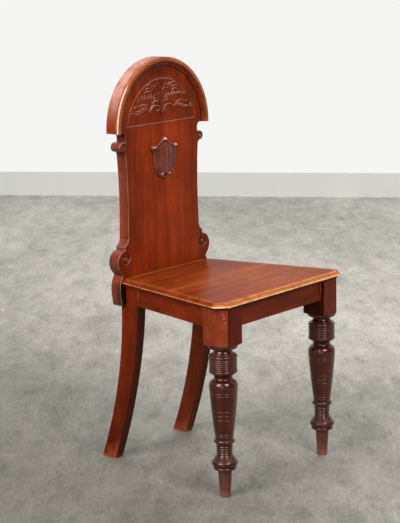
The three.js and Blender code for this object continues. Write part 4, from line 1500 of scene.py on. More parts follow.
    def rub(self, mesh: Mesh) -> None:
        """Wears the lip bare and the round thin, with a painted highlight on both, and the top along its
        edges, its joint and where people sat.

        Args:
            mesh: The mesh of a board, in metres.
        """
        places = points_of(mesh)
        places[:, 1] -= DRAWING_Y
        x, y = places[:, 0], places[:, 1]
        away = away_from(places[:, :2], self.plan(0)[2:8], False)
        front = smooth_step((SEAT_FRONT_Y + self.corner_cut + self.front_band[0] - y) / self.front_band[1])
        height = places[:, 2] - SEAT_TOP
        on_top = height > -0.1
        inward = np.maximum(away - self.thumb[0], 0)
        top = sum(wear * np.exp(-inward / reach) for wear, reach in (self.near_wear, self.far_wear))
        # Wear and a painted highlight on the lip and the round of the moulding.
        lip_reach = self.lip_reach[0] + self.lip_reach[1] * front
        lip = self.lip_wear_and_glint * bell(height + self.thumb[1] - 0.4 * front, lip_reach)
        crown = self.crown_wear_and_glint * bell(height + self.thumb[1] * 0.5, self.crown_reach)
        edge = np.maximum(lip * (0.7 + 0.3 * front), crown * front)
        share = np.where(on_top, top * (0.25 + 0.75 * front), edge)
        joint = self.joint_wear * bell(np.abs(y - SEAT_FRONT_Y - self.joint_depth), 1.0)
        rear = self.rear_wear * bell(BOARD_FACE_Y - y, 2.2)
        bead = self.bead_wear * bell(away - self.thumb[0] - 0.6, 1)
        (middle_x, middle_y), (reach_x, reach_y) = self.sat_middle, self.sat_reach
        sat = self.sat_wear * np.exp(-np.hypot((x - middle_x) / reach_x, (y - middle_y) / reach_y) ** 2)
        store(mesh, WEAR_AND_GLINT, np.maximum(share, highest(sat, joint, rear, bead) * on_top))

    @staticmethod
    def crossing(start: np.ndarray, end: np.ndarray, depth: float) -> np.ndarray:
        """Where an edge of the plan reaches a depth."""
        return start + (end - start) * (depth - start[1]) / (end[1] - start[1])

    def build(self, finishes: Finishes) -> None:
        """Makes both boards, unpolished below."""
        below = SEAT_TOP - self.thumb[1] - self.fillet - 3
        for word in ("front", "rear"):
            node = f"seat_{word}_board"
            piece = self.board(word == "front").piece(f"moulded_{node}", 34)
            self.rub(piece.data)
            faces = piece.data.polygons
            down = rows_of(faces, "normal")[:, 2] < -0.9
            low = rows_of(faces, "center")[:, 2] / MM < below
            dressed(piece, (finishes.seat, finishes.under), down & low)
            join_up(piece, finishes.seat, "seat_mahogany", node)


@dataclass(frozen=True)
class Scroll:
    """A scroll on the face of the board: a hollow between the turns of a line that winds in to an eye."""

    x: float
    z: float
    start: float
    shrink: float
    eye: float
    depth: float
    outward: int

    def cut(self, x: np.ndarray, z: np.ndarray) -> np.ndarray:
        """How deep the scroll is cut at each place.

        Args:
            x: Places across the board.
            z: Heights.

        Returns:
            One depth for each place, 0 outside the scroll.
        """
        inward = (self.x - x) * self.outward
        up = z - self.z
        radius = np.maximum(np.hypot(inward, up), 0.01)
        turned = (math.pi / 2 - np.arctan2(up, inward)) % (2 * math.pi)
        line = self.start * self.shrink ** (turned / (2 * math.pi))
        band = np.log(line / radius) / -math.log(self.shrink)
        share = band - np.floor(band)
        dish = np.sin(math.pi * share ** 0.62) ** 0.8
        opening = np.where(band < 1, smooth_step(turned / math.radians(70)), 1)
        depth = self.depth * dish * opening * np.clip(1.5 * radius / self.start, 0.45, 1)
        dome = self.depth * 0.75 * (radius / self.eye) ** 3
        depth = np.where(radius < self.eye, dome, np.where(radius < self.eye + 0.7, self.depth * 0.8, depth))
        return np.where((band < 0) & (radius > self.eye), 0, depth)


@dataclass(frozen=True)
class Leaf:
    """One carved leaf or stem: a ridge along a curve, wide in its middle and pointed at its ends."""

    curve: tuple[Pair, ...]
    width: float
    height: float
    root: float = 0.35
    vein: float = 0.35

    def mirrored(self) -> "Leaf":
        """The same leaf on the other side of the middle."""
        return Leaf(tuple((-x, z) for x, z in self.curve), self.width, self.height, self.root, self.vein)

    def rise(self, points: np.ndarray) -> np.ndarray:
        """How far the leaf stands out at each place.

        Args:
            points: Places on the board.

        Returns:
            One height for each place.
        """
        line = np.array(bezier(*self.curve, 14))
        best = np.zeros(len(points))
        near = self.nearby(points, line)
        chosen = points[near]
        height = np.zeros(len(chosen))
        for i in range(len(line) - 1):
            span = line[i + 1] - line[i]
            share = np.clip(((chosen - line[i]) @ span) / (span @ span), 0, 1)
            gap = chosen - line[i] - share[:, None] * span
            t = (i + share) / (len(line) - 1)
            belly = np.sin(math.pi * np.clip(self.root + (1 - self.root) * t, 0, 1)) ** 0.8
            half = np.maximum(self.width / 2 * belly, 0.15)
            off = np.sqrt((gap * gap).sum(1)) / half
            crown = np.sqrt(np.clip(1 - off * off, 0, 1)) * (1 - self.vein * bell(off, 0.22))
            height = np.maximum(height, self.height * crown * np.clip(belly * 1.4, 0, 1))
        best[near] = height
        return best

    def nearby(self, points: np.ndarray, line: np.ndarray) -> np.ndarray:
        """Which points are close enough for the leaf to reach.

        Args:
            points: The points as X and Z.
            line: The leaf's middle line.

        Returns:
            Whether each point is.
        """
        low = line.min(0) - self.width
        high = line.max(0) + self.width
        return ((points > low) & (points < high)).all(1)


@dataclass
class Foliage:
    """The leaf spray carved in the lunette, the same on both sides of its stem."""

    base: float = 806
    height: float = 1.9

    def sprig(self, stem: Leaf, count: int, length: float, width: float) -> list[Leaf]:
        """A stem with leaves on both its sides, shorter towards its tip.

        Args:
            stem: The stem.
            count: Leaves on each side.
            length: Length of the first leaves.
            width: Width of the first leaves.

        Returns:
            The stem and its leaves.
        """
        line = np.array(bezier(*stem.curve, 24))
        found = [stem]
        for i in range(count):
            at = 5 + round(18 * i / max(count - 1, 1))
            along = math.atan2(*(line[at + 1] - line[at - 1])[::-1])
            size = length * (1 - 0.35 * i / count)
            for turn in (0.75, -0.85):
                points = [line[at]]
                for share, bend in ((0.4, 1.25), (0.75, 1.0), (1, 0.62)):
                    angle = along + turn * bend
                    points.append(line[at] + size * share * np.array([math.cos(angle), math.sin(angle)]))
                wide = width * (1 - 0.25 * i / count)
                found.append(Leaf(tuple(map(tuple, points)), wide, self.height, 0.18))
        return found

    def rosette(self, x: float, z: float, reach: float, petals: int) -> list[Leaf]:
        """An open flower.

        Args:
            x: Its middle.
            z: Its middle.
            reach: Length of its petals.
            petals: How many it has.

        Returns:
            The petals and the button.
        """
        found = [Leaf(((x - 2, z), (x - 1, z), (x + 1, z), (x + 2, z)), 4.5, self.height * 1.15, 0.5, 0)]
        for i in range(petals):
            turn = 2 * math.pi * (i + 0.3) / petals
            ends = [(x + r * math.cos(turn + b), z + r * math.sin(turn + b))
                    for r, b in ((2, 0), (reach * 0.4, 0.35), (reach * 0.75, 0.2), (reach, -0.1))]
            found.append(Leaf(tuple(ends), reach * 0.62, self.height, 0.25))
        return found

    def leaves(self) -> list[Leaf]:
        """Every leaf and stem of the spray.

        Returns:
            The leaves.
        """
        z = self.base
        tall = self.height
        right = [
            Leaf(((3, z), (7, z + 15), (16, z + 20), (27, z + 17)), 3.6, tall, 0.15),
            Leaf(((26, z + 18), (35, z + 15), (40, z + 8), (46, z)), 6.2, tall * 1.35, 0.3),
            Leaf(((2, z - 1), (7, z + 6), (11, z + 9), (17, z + 4)), 3.4, tall * 0.9, 0.2),
            Leaf(((2, z + 14), (8, z + 30), (14, z + 38), (24, z + 46)), 3.4, tall, 0.1),
            Leaf(((3, z + 22), (9, z + 30), (11, z + 40), (8, z + 51)), 4.6, tall, 0.2),
            Leaf(((5, z + 52), (11, z + 58), (15, z + 66), (13, z + 72)), 4.4, tall, 0.25),
            Leaf(((11, z + 27), (20, z + 30), (28, z + 28), (35, z + 20)), 4, tall, 0.2),
            Leaf(((36, z + 49), (44, z + 53), (52, z + 52), (61, z + 47)), 4.8, tall, 0.2),
            Leaf(((38, z + 57), (45, z + 60), (52, z + 59), (58, z + 54)), 4.4, tall, 0.2),
            Leaf(((34, z + 65), (40, z + 68), (46, z + 67), (51, z + 62)), 4, tall, 0.2),
            Leaf(((48, z + 19), (60, z + 27), (74, z + 21), (84, z + 20)), 3.2, tall, 0.15),
            Leaf(((84, z + 20), (91, z + 21), (96, z + 17), (93, z + 12)), 3.2, tall, 0.2),
        ]
        right += self.rosette(26, z + 58, 10.5, 6)
        low = Leaf(((42, z + 12), (56, z + 24), (70, z - 2), (100, z + 9)), 3.0, tall * 0.9, 0.15)
        upper = Leaf(((8, z + 30), (30, z + 42), (50, z + 42), (80, z + 37)), 2.8, tall * 0.9, 0.12)
        right += self.sprig(low, 6, 10, 4.4)
        right += self.sprig(upper, 6, 9.5, 4.2)
        stem = Leaf(((0, z - 3), (0, z + 16), (0, z + 40), (0, z + 64)), 7.4, tall * 1.3, 0.3, 0.5)
        return [stem] + right + [leaf.mirrored() for leaf in right]

    def shade(self, points: np.ndarray) -> np.ndarray:
        """How dark the ground is around the leaves.

        Args:
            points: Places on the board.

        Returns:
            A share for each place, 0 far from the leaves and on their crowns.
        """
        height = np.zeros(len(points))
        for leaf in self.leaves():
            wider = Leaf(leaf.curve, leaf.width + 6, self.height, leaf.root, 0)
            height = np.maximum(height, wider.rise(points))
        crown = self.rise(points[:, 0], points[:, 1])
        return 0.5 * np.clip(height / self.height, 0, 1) * np.clip(1 - crown / (self.height * 0.6), 0, 1)

    def rise(self, x: np.ndarray, z: np.ndarray) -> np.ndarray:
        """How far the spray stands out at each place.

        Args:
            x: Places across the board.
            z: Heights.

        Returns:
            One height over the face for each place.
        """
        points = np.stack([x, z], 1)
        height = np.zeros(len(points))
        for leaf in self.leaves():
            height = np.maximum(height, leaf.rise(points))
        return height


def plate(outline: np.ndarray, front: float, rear: float, arris: float, zones: Sequence[Zone], relief: Relief,
          sinks: Sequence[Row] = (), lines: Sequence[np.ndarray] = ()) -> Draft:
    """A board whose outline stands in X and Z, with rounded arrises, a carved face and screw holes behind.

    Args:
        outline: Its corners, counter-clockwise as seen from the front with X to the right.
        front: Depth of its face.
        rear: Depth of its back.
        arris: Radius of its edges.
        zones: Where the face is drawn finely, and how finely.
        relief: How deep the face is cut at each place; proud work is below 0.
        sinks: Screw holes in the back, as X, Z, mouth radius, shank radius and depth.
        lines: Closed lines that the triangles of the face have to follow.

    Returns:
        The draft.
    """
    levels = []
    for angle in np.radians([0, 22.5, 45, 67.5, 90]):
        levels.append((arris * (1 - math.sin(angle)), arris * (1 - math.cos(angle))))
    rings = []
    for set_in, back_off in levels:
        rings.append((set_in, rear - back_off))
    for set_in, back_off in reversed(levels):
        rings.append((set_in, front + back_off))
    made = Draft()
    made.skin([upright(inset(outline, set_in), depth) for set_in, depth in rings])
    edge = inset(outline, arris)
    points, triangles = fill(edge, zones, lines)
    clear = smooth_step(away_from(points, edge, True) / 1.2)
    depth = front + relief(points[:, 0], points[:, 1]) * clear
    made.patch(upright(points, depth), triangles)
    loops, depths = [], []
    for x, z, mouth, shank, sink in sinks:
        for radius, down in ((mouth, 0), (shank, sink)):
            loops.append(np.array(arc((x, z), radius, 0, 345, 23)))
            depths.append((x, z, radius, down))
    span = Zone(outline[:, 0].min(), outline[:, 0].max(), outline[:, 1].min(), outline[:, 1].max(), 14)
    support = inset(outline, arris + 1.2)
    points, triangles = fill(edge, [span], [support, *loops])
    depth = np.full(len(points), float(rear))
    for x, z, radius, down in depths:
        depth[np.hypot(points[:, 0] - x, points[:, 1] - z) < radius + 0.05] = rear - down
    made.patch(upright(points, depth), triangles)
    return made


@dataclass
class BackBoard:
    """The upright shaped board of the back: tail, volutes, ears, waist, round head and carved lunette."""

    arris: float = 1.6
    tail_drop: float = 63.6
    tail_half: float = 152.5
    tail_corner: float = 5
    tail_bulge: float = 5.5
    notch_half: float = 146.5
    notch_rise: float = 9
    volute_x: float = 136.5
    volute_rise: float = 44
    volute_radius: float = 20
    volute_opening: float = 14.4
    volute_power: float = 2.2
    low_ear_half: float = 137
    low_ear_height: float = 14
    ear_beads: int = 3
    waist_half: float = 121.7
    waist_start: Pair = (124.8, 88)
    waist_end_half: float = 126
    ear: Pair = (134, 740)
    ear_radius: float = 10.7
    ear_flank: float = 18
    neck_half: float = 124.4
    hood_end: float = 772
    hood_stilt: float = 5
    hood_radius: float = 157
    hood_cove: float = 11
    lunette_radius: float = 118
    lunette_centre: float = 768
    lunette_base: float = 785
    lunette_line: float = 1.2
    screw_shank: float = 2.9
    screw_sink: float = 3.2
    # Painted highlights on two bold strokes of the leaves: X, Z, width and strength.
    strokes: tuple[Row, ...] = ((-33, 816, 7, 1.3), (39, 815, 9, 0.7))
    line_depth: float = 1.3
    edge_grime: float = 0.62
    edge_reach: float = 36
    hood_grime: float = 0.6
    hood_line: Pair = (21, 4)
    seat_grime: float = 0.3
    seat_reach: float = 9
    lunette_grime: float = 0.42
    lunette_rise: Pair = (25, 40)
    head_grime: float = 0.6
    head_rise: Pair = (95, 20)
    tail_grime: float = 1.3
    tail_rise: Pair = (4, 8)
    under_grime: float = 0.8
    roll_grime: float = 0.42
    upper_highlight: float = 0.35
    leaf_wear: float = 0.22
    foliage: Foliage = field(default_factory=Foliage)

    def side(self) -> Line:
        """The right-hand edge from the tail up to the end of the hood.

        Returns:
            Points in X and Z.
        """
        bottom = SEAT_TOP - self.tail_drop
        corner = self.tail_half - self.tail_corner
        points = arc((corner, bottom + self.tail_corner), self.tail_corner, -90, 0, 6)[:-1]
        points += bezier((self.tail_half, bottom + self.tail_corner),
                         (self.tail_half + self.tail_bulge, bottom + self.tail_drop * 0.45),
                         (self.tail_half + self.tail_bulge * 1.5, bottom + self.tail_drop * 0.84),
                         (self.notch_half, SEAT_TOP + self.notch_rise - 2), 18)
        eye = SEAT_TOP + self.volute_rise
        for share in np.linspace(1, 0, 34):
            angle = math.radians(84 - 152 * share)
            radius = self.volute_radius + self.volute_opening * share ** self.volute_power
            points.append((self.volute_x + radius * math.cos(angle), eye + radius * math.sin(angle)))
        ear_bottom = eye + self.volute_radius
        start_half, start_rise = self.waist_start
        start = SEAT_TOP + start_rise
        points.append((self.low_ear_half, ear_bottom))
        ear_edge = bezier((self.low_ear_half, ear_bottom + self.low_ear_height * 0.25),
                          (self.low_ear_half, ear_bottom + self.low_ear_height),
                          (start_half, ear_bottom + self.low_ear_height * 0.9), (start_half, start), 30)
        for i, (x, z) in enumerate(ear_edge):
            points.append((x - 1.5 * (1 - math.sin(math.pi * (i * self.ear_beads / 30 % 1)) ** 0.6), z))
        end = self.ear[1] - self.ear_flank
        bow = (self.waist_half * 8 - start_half - self.waist_end_half) / 6
        points += bezier((start_half, start), (bow, start + (end - start) * 0.3),
                         (bow, start + (end - start) * 0.7), (self.waist_end_half, end), 22)[1:]
        ear_x, ear_z = self.ear
        radius = self.ear_radius
        points += bezier((self.waist_end_half, end),
                         (self.waist_end_half + radius * 0.12, ear_z - radius * 1.2),
                         (ear_x - radius * 0.3, ear_z - radius), (ear_x, ear_z - radius), 8)[1:]
        points += arc(self.ear, radius, -90, 90, 22)[1:]
        points.append((self.neck_half, ear_z + radius))
        cove_x = self.neck_half + self.hood_cove
        points += arc((cove_x, self.hood_end - self.hood_cove), self.hood_cove, 180, 90, 10)
        points.append((self.hood_radius, self.hood_end))
        return points

    def outline(self) -> np.ndarray:
        """The whole outline, counter-clockwise.

        Returns:
            Its points as X and Z.
        """
        side = self.side()
        head = arc((0, self.hood_end + self.hood_stilt), self.hood_radius, 0, 180, 90)
        mirrored = [(-x, z) for x, z in reversed(side)]
        return np.array(side + head + mirrored)

    def scrolls(self) -> list[Scroll]:
        """The scrolls of both volutes and both ears.

        Returns:
            The four scrolls.
        """
        found = []
        eye = SEAT_TOP + self.volute_rise
        for side in SIDES.values():
            found.append(Scroll(side * self.volute_x, eye, 19.5, 0.42, 5, 3.4, side))
            found.append(Scroll(side * self.ear[0], self.ear[1], 9.6, 0.4, 3, 2.2, side))
        return found

    def relief(self, x: np.ndarray, z: np.ndarray) -> np.ndarray:
        """How deep the face is cut at each place.

        Args:
            x: Places across the board.
            z: Heights.

        Returns:
            One depth for each place; carved work that stands proud is below 0.
        """
        depth = np.zeros(len(x))
        for scroll in self.scrolls():
            depth = np.maximum(depth, scroll.cut(x, z))
        depth += self.line_depth * self.line_share(np.stack([x, z], 1))
        return depth - self.foliage.rise(x, z)

    def line_share(self, points: np.ndarray) -> np.ndarray:
        """How near each place is to the incised line of the lunette, 1 in its middle and 0 past its edges."""
        return np.clip(1 - (away_from(points, self.lunette(0), True) / self.lunette_line) ** 2, 0, 1)

    def lunette(self, out: float) -> np.ndarray:
        """The closed line of the lunette, or the line a distance outside it.

        Args:
            out: The distance in millimetres.

        Returns:
            Its points as X and Z.
        """
        radius = self.lunette_radius + out
        base = self.lunette_base - out
        lift = math.degrees(math.asin((base - self.lunette_centre) / radius))
        return np.array(arc((0, self.lunette_centre), radius, lift, 180 - lift, 90))

    def darkened(self, places: np.ndarray) -> np.ndarray:
        """How much the face is darkened: towards its edges, up the lunette and between the leaves, with
        painted shadow under the hood and painted shade at the top of the head, by the seat and on the tail
        below it.

        Args:
            places: Points of the board in millimetres.

        Returns:
            A share for each point.
        """
        x, z = places[:, 0], places[:, 2]
        face = places[:, 1] < BOARD_FACE_Y + DRAWING_Y + 6
        flat = np.stack([x, z], 1)
        # Darker towards the edges, up the lunette and between the leaves; painted shadow inside the hood;
        # painted shade at the top of the head, by the seat and on the tail.
        edge = self.edge_grime * bell(away_from(flat, self.outline(), True) - 2, self.edge_reach)
        arch = np.where(z > self.hood_end, np.hypot(x, z - self.hood_end - self.hood_stilt), np.abs(x))
        hood = self.hood_grime * bell(arch - self.hood_radius + self.hood_line[0], self.hood_line[1])
        hood *= z > self.hood_end
        seat = self.seat_grime * np.exp(-np.maximum(z - SEAT_TOP, 0) / self.seat_reach)
        up = z - self.lunette_base
        lunette = self.lunette_grime * smooth_step((up + self.lunette_rise[0]) / self.lunette_rise[1])
        head = self.head_grime * smooth_step((up - self.head_rise[0]) / self.head_rise[1])
        tail = self.tail_grime * smooth_step((SEAT_TOP - self.tail_rise[0] - z) / self.tail_rise[1])
        carved = np.zeros(len(x))
        near = face & (z > self.lunette_base) & (arch < self.lunette_radius)
        carved[near] = self.foliage.shade(flat[near])
        return highest(edge, hood, seat, lunette, head, tail, carved) * face

    @staticmethod
    def turned_ways(mesh: Mesh) -> tuple[np.ndarray, np.ndarray, np.ndarray]:
        """How far each point belongs to the board's edge, and faces up there or down, all from 0 to 1.

        Args:
            mesh: The mesh of the board.

        Returns:
            The share of the edge, then the shares that face up and down.
        """
        normals = normals_of(mesh)
        edge = smooth_step((0.75 - np.abs(normals[:, 1])) / 0.4)
        up = smooth_step((normals[:, 2] - 0.3) / 0.5) * edge
        return edge, up, smooth_step((-normals[:, 2] - 0.05) / 0.6) * edge

    def sinks(self) -> list[Row]:
        """The screw holes in the back, where the frame's screws stand.

        Returns:
            X, Z, mouth radius, shank radius and depth of each.
        """
        found = []
        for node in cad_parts:
            if node.startswith("back_screw") or node == "shield_screw":
                low, high = box_mm(node)
                head = (high[0] - low[0]) / 2
                small = 0.72 if node == "shield_screw" else 1
                found.append(((low[0] + high[0]) / 2, (low[2] + high[2]) / 2, head + 0.35,
                              self.screw_shank * small, self.screw_sink))
        return found

    def rub(self, mesh: Mesh) -> None:
        """Paints highlights on the edges that face up and on two strokes of the leaves, lightens the
        lunette's line as pale wax and a painted highlight, and darkens the face, with painted shade on the
        edges that face down and on the rolls.

        Args:
            mesh: The mesh of the board, in metres.
        """
        places = points_of(mesh)
        x, z = places[:, 0], places[:, 2]
        eye = SEAT_TOP + self.volute_rise
        # Pale wax and a painted highlight along the incised line of the lunette.
        line_wax_and_glint = self.line_share(places[:, [0, 2]]) * (places[:, 1] < BOARD_FACE_Y + DRAWING_Y + 3)
        edge, up, down = self.turned_ways(mesh)
        low = z < self.hood_end - 0.5
        lunette = inside(places[:, [0, 2]], self.lunette(-self.lunette_line))
        # Painted highlights on two strokes of the leaves and on the edges that face up.
        strokes = self.leaf_wear * np.ones(len(places))
        for at_x, at_z, wide, share in self.strokes:
            strokes += share * bell(x - at_x, wide, z - at_z, 9)
        own = kept(mesh, WEAR_AND_GLINT) * np.where(lunette, strokes, 1)
        store(mesh, WEAR_AND_GLINT, highest(own, line_wax_and_glint, self.upper_highlight * up * low))
        # Painted shade on the edges that face down and on the sides of the rolls.
        rolls = np.exp(-((z - self.ear[1]) / 16) ** 4) + np.exp(-((z - eye - 6) / 34) ** 4)
        edges = low * np.maximum(self.under_grime * down, self.roll_grime * rolls * edge)
        store(mesh, SHADE_AND_GRIME, highest(kept(mesh, SHADE_AND_GRIME) * (1 - line_wax_and_glint), self.darkened(places), edges))

    def finish_of(self, mesh: Mesh) -> np.ndarray:
        """Which finish each face has: 0 for the panel, 1 for polished edges and scrolls, 2 for the bare back.

        Args:
            mesh: The mesh of the board, in metres.

        Returns:
            One number for each face.
        """
        middles = rows_of(mesh.polygons, "center") / MM
        facing = rows_of(mesh.polygons, "normal")[:, 1]
        carved = np.zeros(len(middles))
        for scroll in self.scrolls():
            carved = np.maximum(carved, scroll.cut(middles[:, 0], middles[:, 2]))
        polished = (np.abs(facing) < 0.6) | ((carved > 0.12) & (facing < 0))
        polished &= (middles[:, 2] < self.hood_end - 0.5) & (middles[:, 2] > SEAT_TOP - self.tail_drop + 1.2)
        bare = (facing > 0.9) & (middles[:, 1] > BOARD_REAR_Y + DRAWING_Y - 4)
        return polished.astype(int) + 2 * bare

    def build(self, finishes: Finishes) -> None:
        """Makes the board, drawn finely in the lunette and at the scrolls.

        Args:
            finishes: The chair's finishes.
        """
        ear_x, ear_z = self.ear
        eye = SEAT_TOP + self.volute_rise
        zones = [Zone(-100, 100, self.lunette_base - 4, self.lunette_base + 96, 0.7)]
        for side in SIDES.values():
            zones.append(Zone(side * ear_x - 13, side * ear_x + 13, ear_z - 12, ear_z + 12, 0.5))
            zones.append(Zone(side * self.volute_x - 22, side * self.volute_x + 23, eye - 24, eye + 21, 0.55))
        zones.append(Zone(-160, 160, 370, 940, 9))
        lines = [self.lunette(self.lunette_line * share) for share in (-1, -0.5, 0, 0.5, 1)]
        draft = plate(self.outline(), BOARD_FACE_Y, BOARD_REAR_Y, self.arris, zones, self.relief,
                      self.sinks(), lines)
        made = draft.piece("carved_back_board", 40)
        self.rub(made.data)
        dressed(made, (finishes.panel, finishes.edge, finishes.back), self.finish_of(made.data))
        join_up(made, finishes.panel, "mahogany", "back_board")


@dataclass
class Shield:
    """The shield planted on the board: a crowned field with soft flutes inside a rolled rim."""

    half_width: float = 43.5
    rise: float = 47.5
    fall: float = 47.5
    z: float = 704.5
    relief: float = 11.5
    edge: float = 6.5
    gap: float = 0.3
    rounding: float = 1.4
    field_reach: Pair = (40, 56)
    field_drop: float = 5
    flute_depth: float = 0.25
    flute_pitch: float = 14
    crest_wear_and_glint: float = 1.8
    wall_grime: float = 0.85
    lobes: tuple[Row, ...] = (
        (36, 24.4, 8, 3.6, 5.4), (0, 42.0, 7, 4.2, 4.2), (12, -39.5, 4.6, 3.4, 4.2), (23, -30, 6, 6, -1.8),
        (0, -41, 4.5, 4, -2.5), (28, 17, 9, 4, -2.2),
    )

    def outline(self) -> np.ndarray:
        """The shield's outline, drawn for its right half and mirrored.

        Returns:
            Its points, counter-clockwise.
        """
        shares = [
            (0.03, 1), (0.16, 0.88), (0.33, 0.74), (0.53, 0.62), (0.76, 0.58), (0.91, 0.63), (1, 0.54),
            (0.97, 0.41), (0.83, 0.28), (0.82, 0), (0.81, -0.24), (0.75, -0.5), (0.62, -0.71),
            (0.43, -0.88), (0.2, -0.97), (0, -1),
        ]
        line = np.array(through(shares, 6))
        line[:, 0] *= self.half_width
        line[:, 1] = np.where(line[:, 1] > 0, line[:, 1] * self.rise, line[:, 1] * self.fall) + self.z
        left = line[-2::-1] * (-1, 1)
        return np.vstack([line, left])[::-1]

    def bumps(self, x: np.ndarray, up: np.ndarray) -> list[tuple[float, np.ndarray]]:
        """The lobes of both sides, each with its height and the squared share of its reach to every place."""
        return [(tall, ((x - side * lobe_x) / wide) ** 2 + ((up - lobe_z) / high) ** 2)
                for side in SIDES.values() for lobe_x, lobe_z, wide, high, tall in self.lobes]

    def cut(self, x: np.ndarray, z: np.ndarray) -> np.ndarray:
        """Depth of the face behind its highest point at each place.

        Args:
            x: Places across the shield.
            z: Heights.

        Returns:
            One depth for each place.
        """
        away = away_from(np.stack([x, z], 1), self.outline(), True)
        up = z - self.z
        wide, tall = self.field_reach
        crown = np.clip(1 - (x / wide) ** 2 - ((up + self.field_drop) / tall) ** 2, 0, 1)
        height = self.edge - 2 + (self.relief - self.edge + 0.9) * crown * smooth_step((away - 0.8) / 7)
        flutes = self.flute_depth * np.cos(2 * math.pi * x / self.flute_pitch) * smooth_step((away - 6) / 5)
        height += flutes * smooth_step((28 - up) / 12)
        rim = 0.2 + 1.65 * smooth_step((up - 16) / 10)
        height += rim * bell(away - 2.4, 1.8)
        height -= 0.7 * rim * bell(away - 6.2, 1.9)
        for tall, off in self.bumps(x, up):
            height += tall * np.exp(-off)
        return self.relief - np.minimum(height, self.relief)

    def rub(self, mesh: Mesh) -> None:
        """Wears the crests of the lobes, with a painted highlight on them, and paints shade on the walls.

        Args:
            mesh: The mesh of the shield, in metres.
        """
        places = points_of(mesh)
        proud = BOARD_FACE_Y + DRAWING_Y - places[:, 1]
        # Wear and a painted highlight on the crests of the lobes.
        crests = np.zeros(len(places))
        for tall, off in self.bumps(places[:, 0], places[:, 2] - self.z):
            crests = np.maximum(crests, np.exp(-off * 1.3) * (tall > 3) * smooth_step((proud - 4) / 3))
        crests *= self.crest_wear_and_glint
        store(mesh, WEAR_AND_GLINT, np.maximum(kept(mesh, WEAR_AND_GLINT) * 0.5, crests))
        # Painted shade on the low walls round the shield.
        wall = self.wall_grime * smooth_step((self.edge * 0.9 - proud) / 1.5)
        raised(mesh, SHADE_AND_GRIME, wall * (1 - np.clip(crests, 0, 1)))

    def build(self, finishes: Finishes) -> None:
        """Makes the shield.

        Args:
            finishes: The chair's finishes.
        """
        outline = self.outline()
        draft = Draft()
        foot = BOARD_FACE_Y - self.edge * 0.75
        levels = [(0, BOARD_FACE_Y - self.gap), (0, foot)]
        for angle in np.radians([30, 60, 90]):
            levels.append((self.rounding * (1 - math.cos(angle)), foot - 0.9 * math.sin(angle)))
        first, _ = draft.skin([upright(inset(outline, set_in), depth) for set_in, depth in levels])
        draft.cap(first, len(outline))
        edge = inset(outline, self.rounding)
        points, triangles = fill(edge, [Zone(-45, 45, self.z - 50, self.z + 50, 0.6)])
        depth = BOARD_FACE_Y - self.relief + self.cut(points[:, 0], points[:, 1])
        share = smooth_step(away_from(points, edge, True) / 1.3)
        draft.patch(upright(points, levels[-1][1] * (1 - share) + depth * share), triangles)
        made = draft.piece("carved_shield", 55)
        self.rub(made.data)
        join_up(made, finishes.carved, "carved_mahogany", "shield")


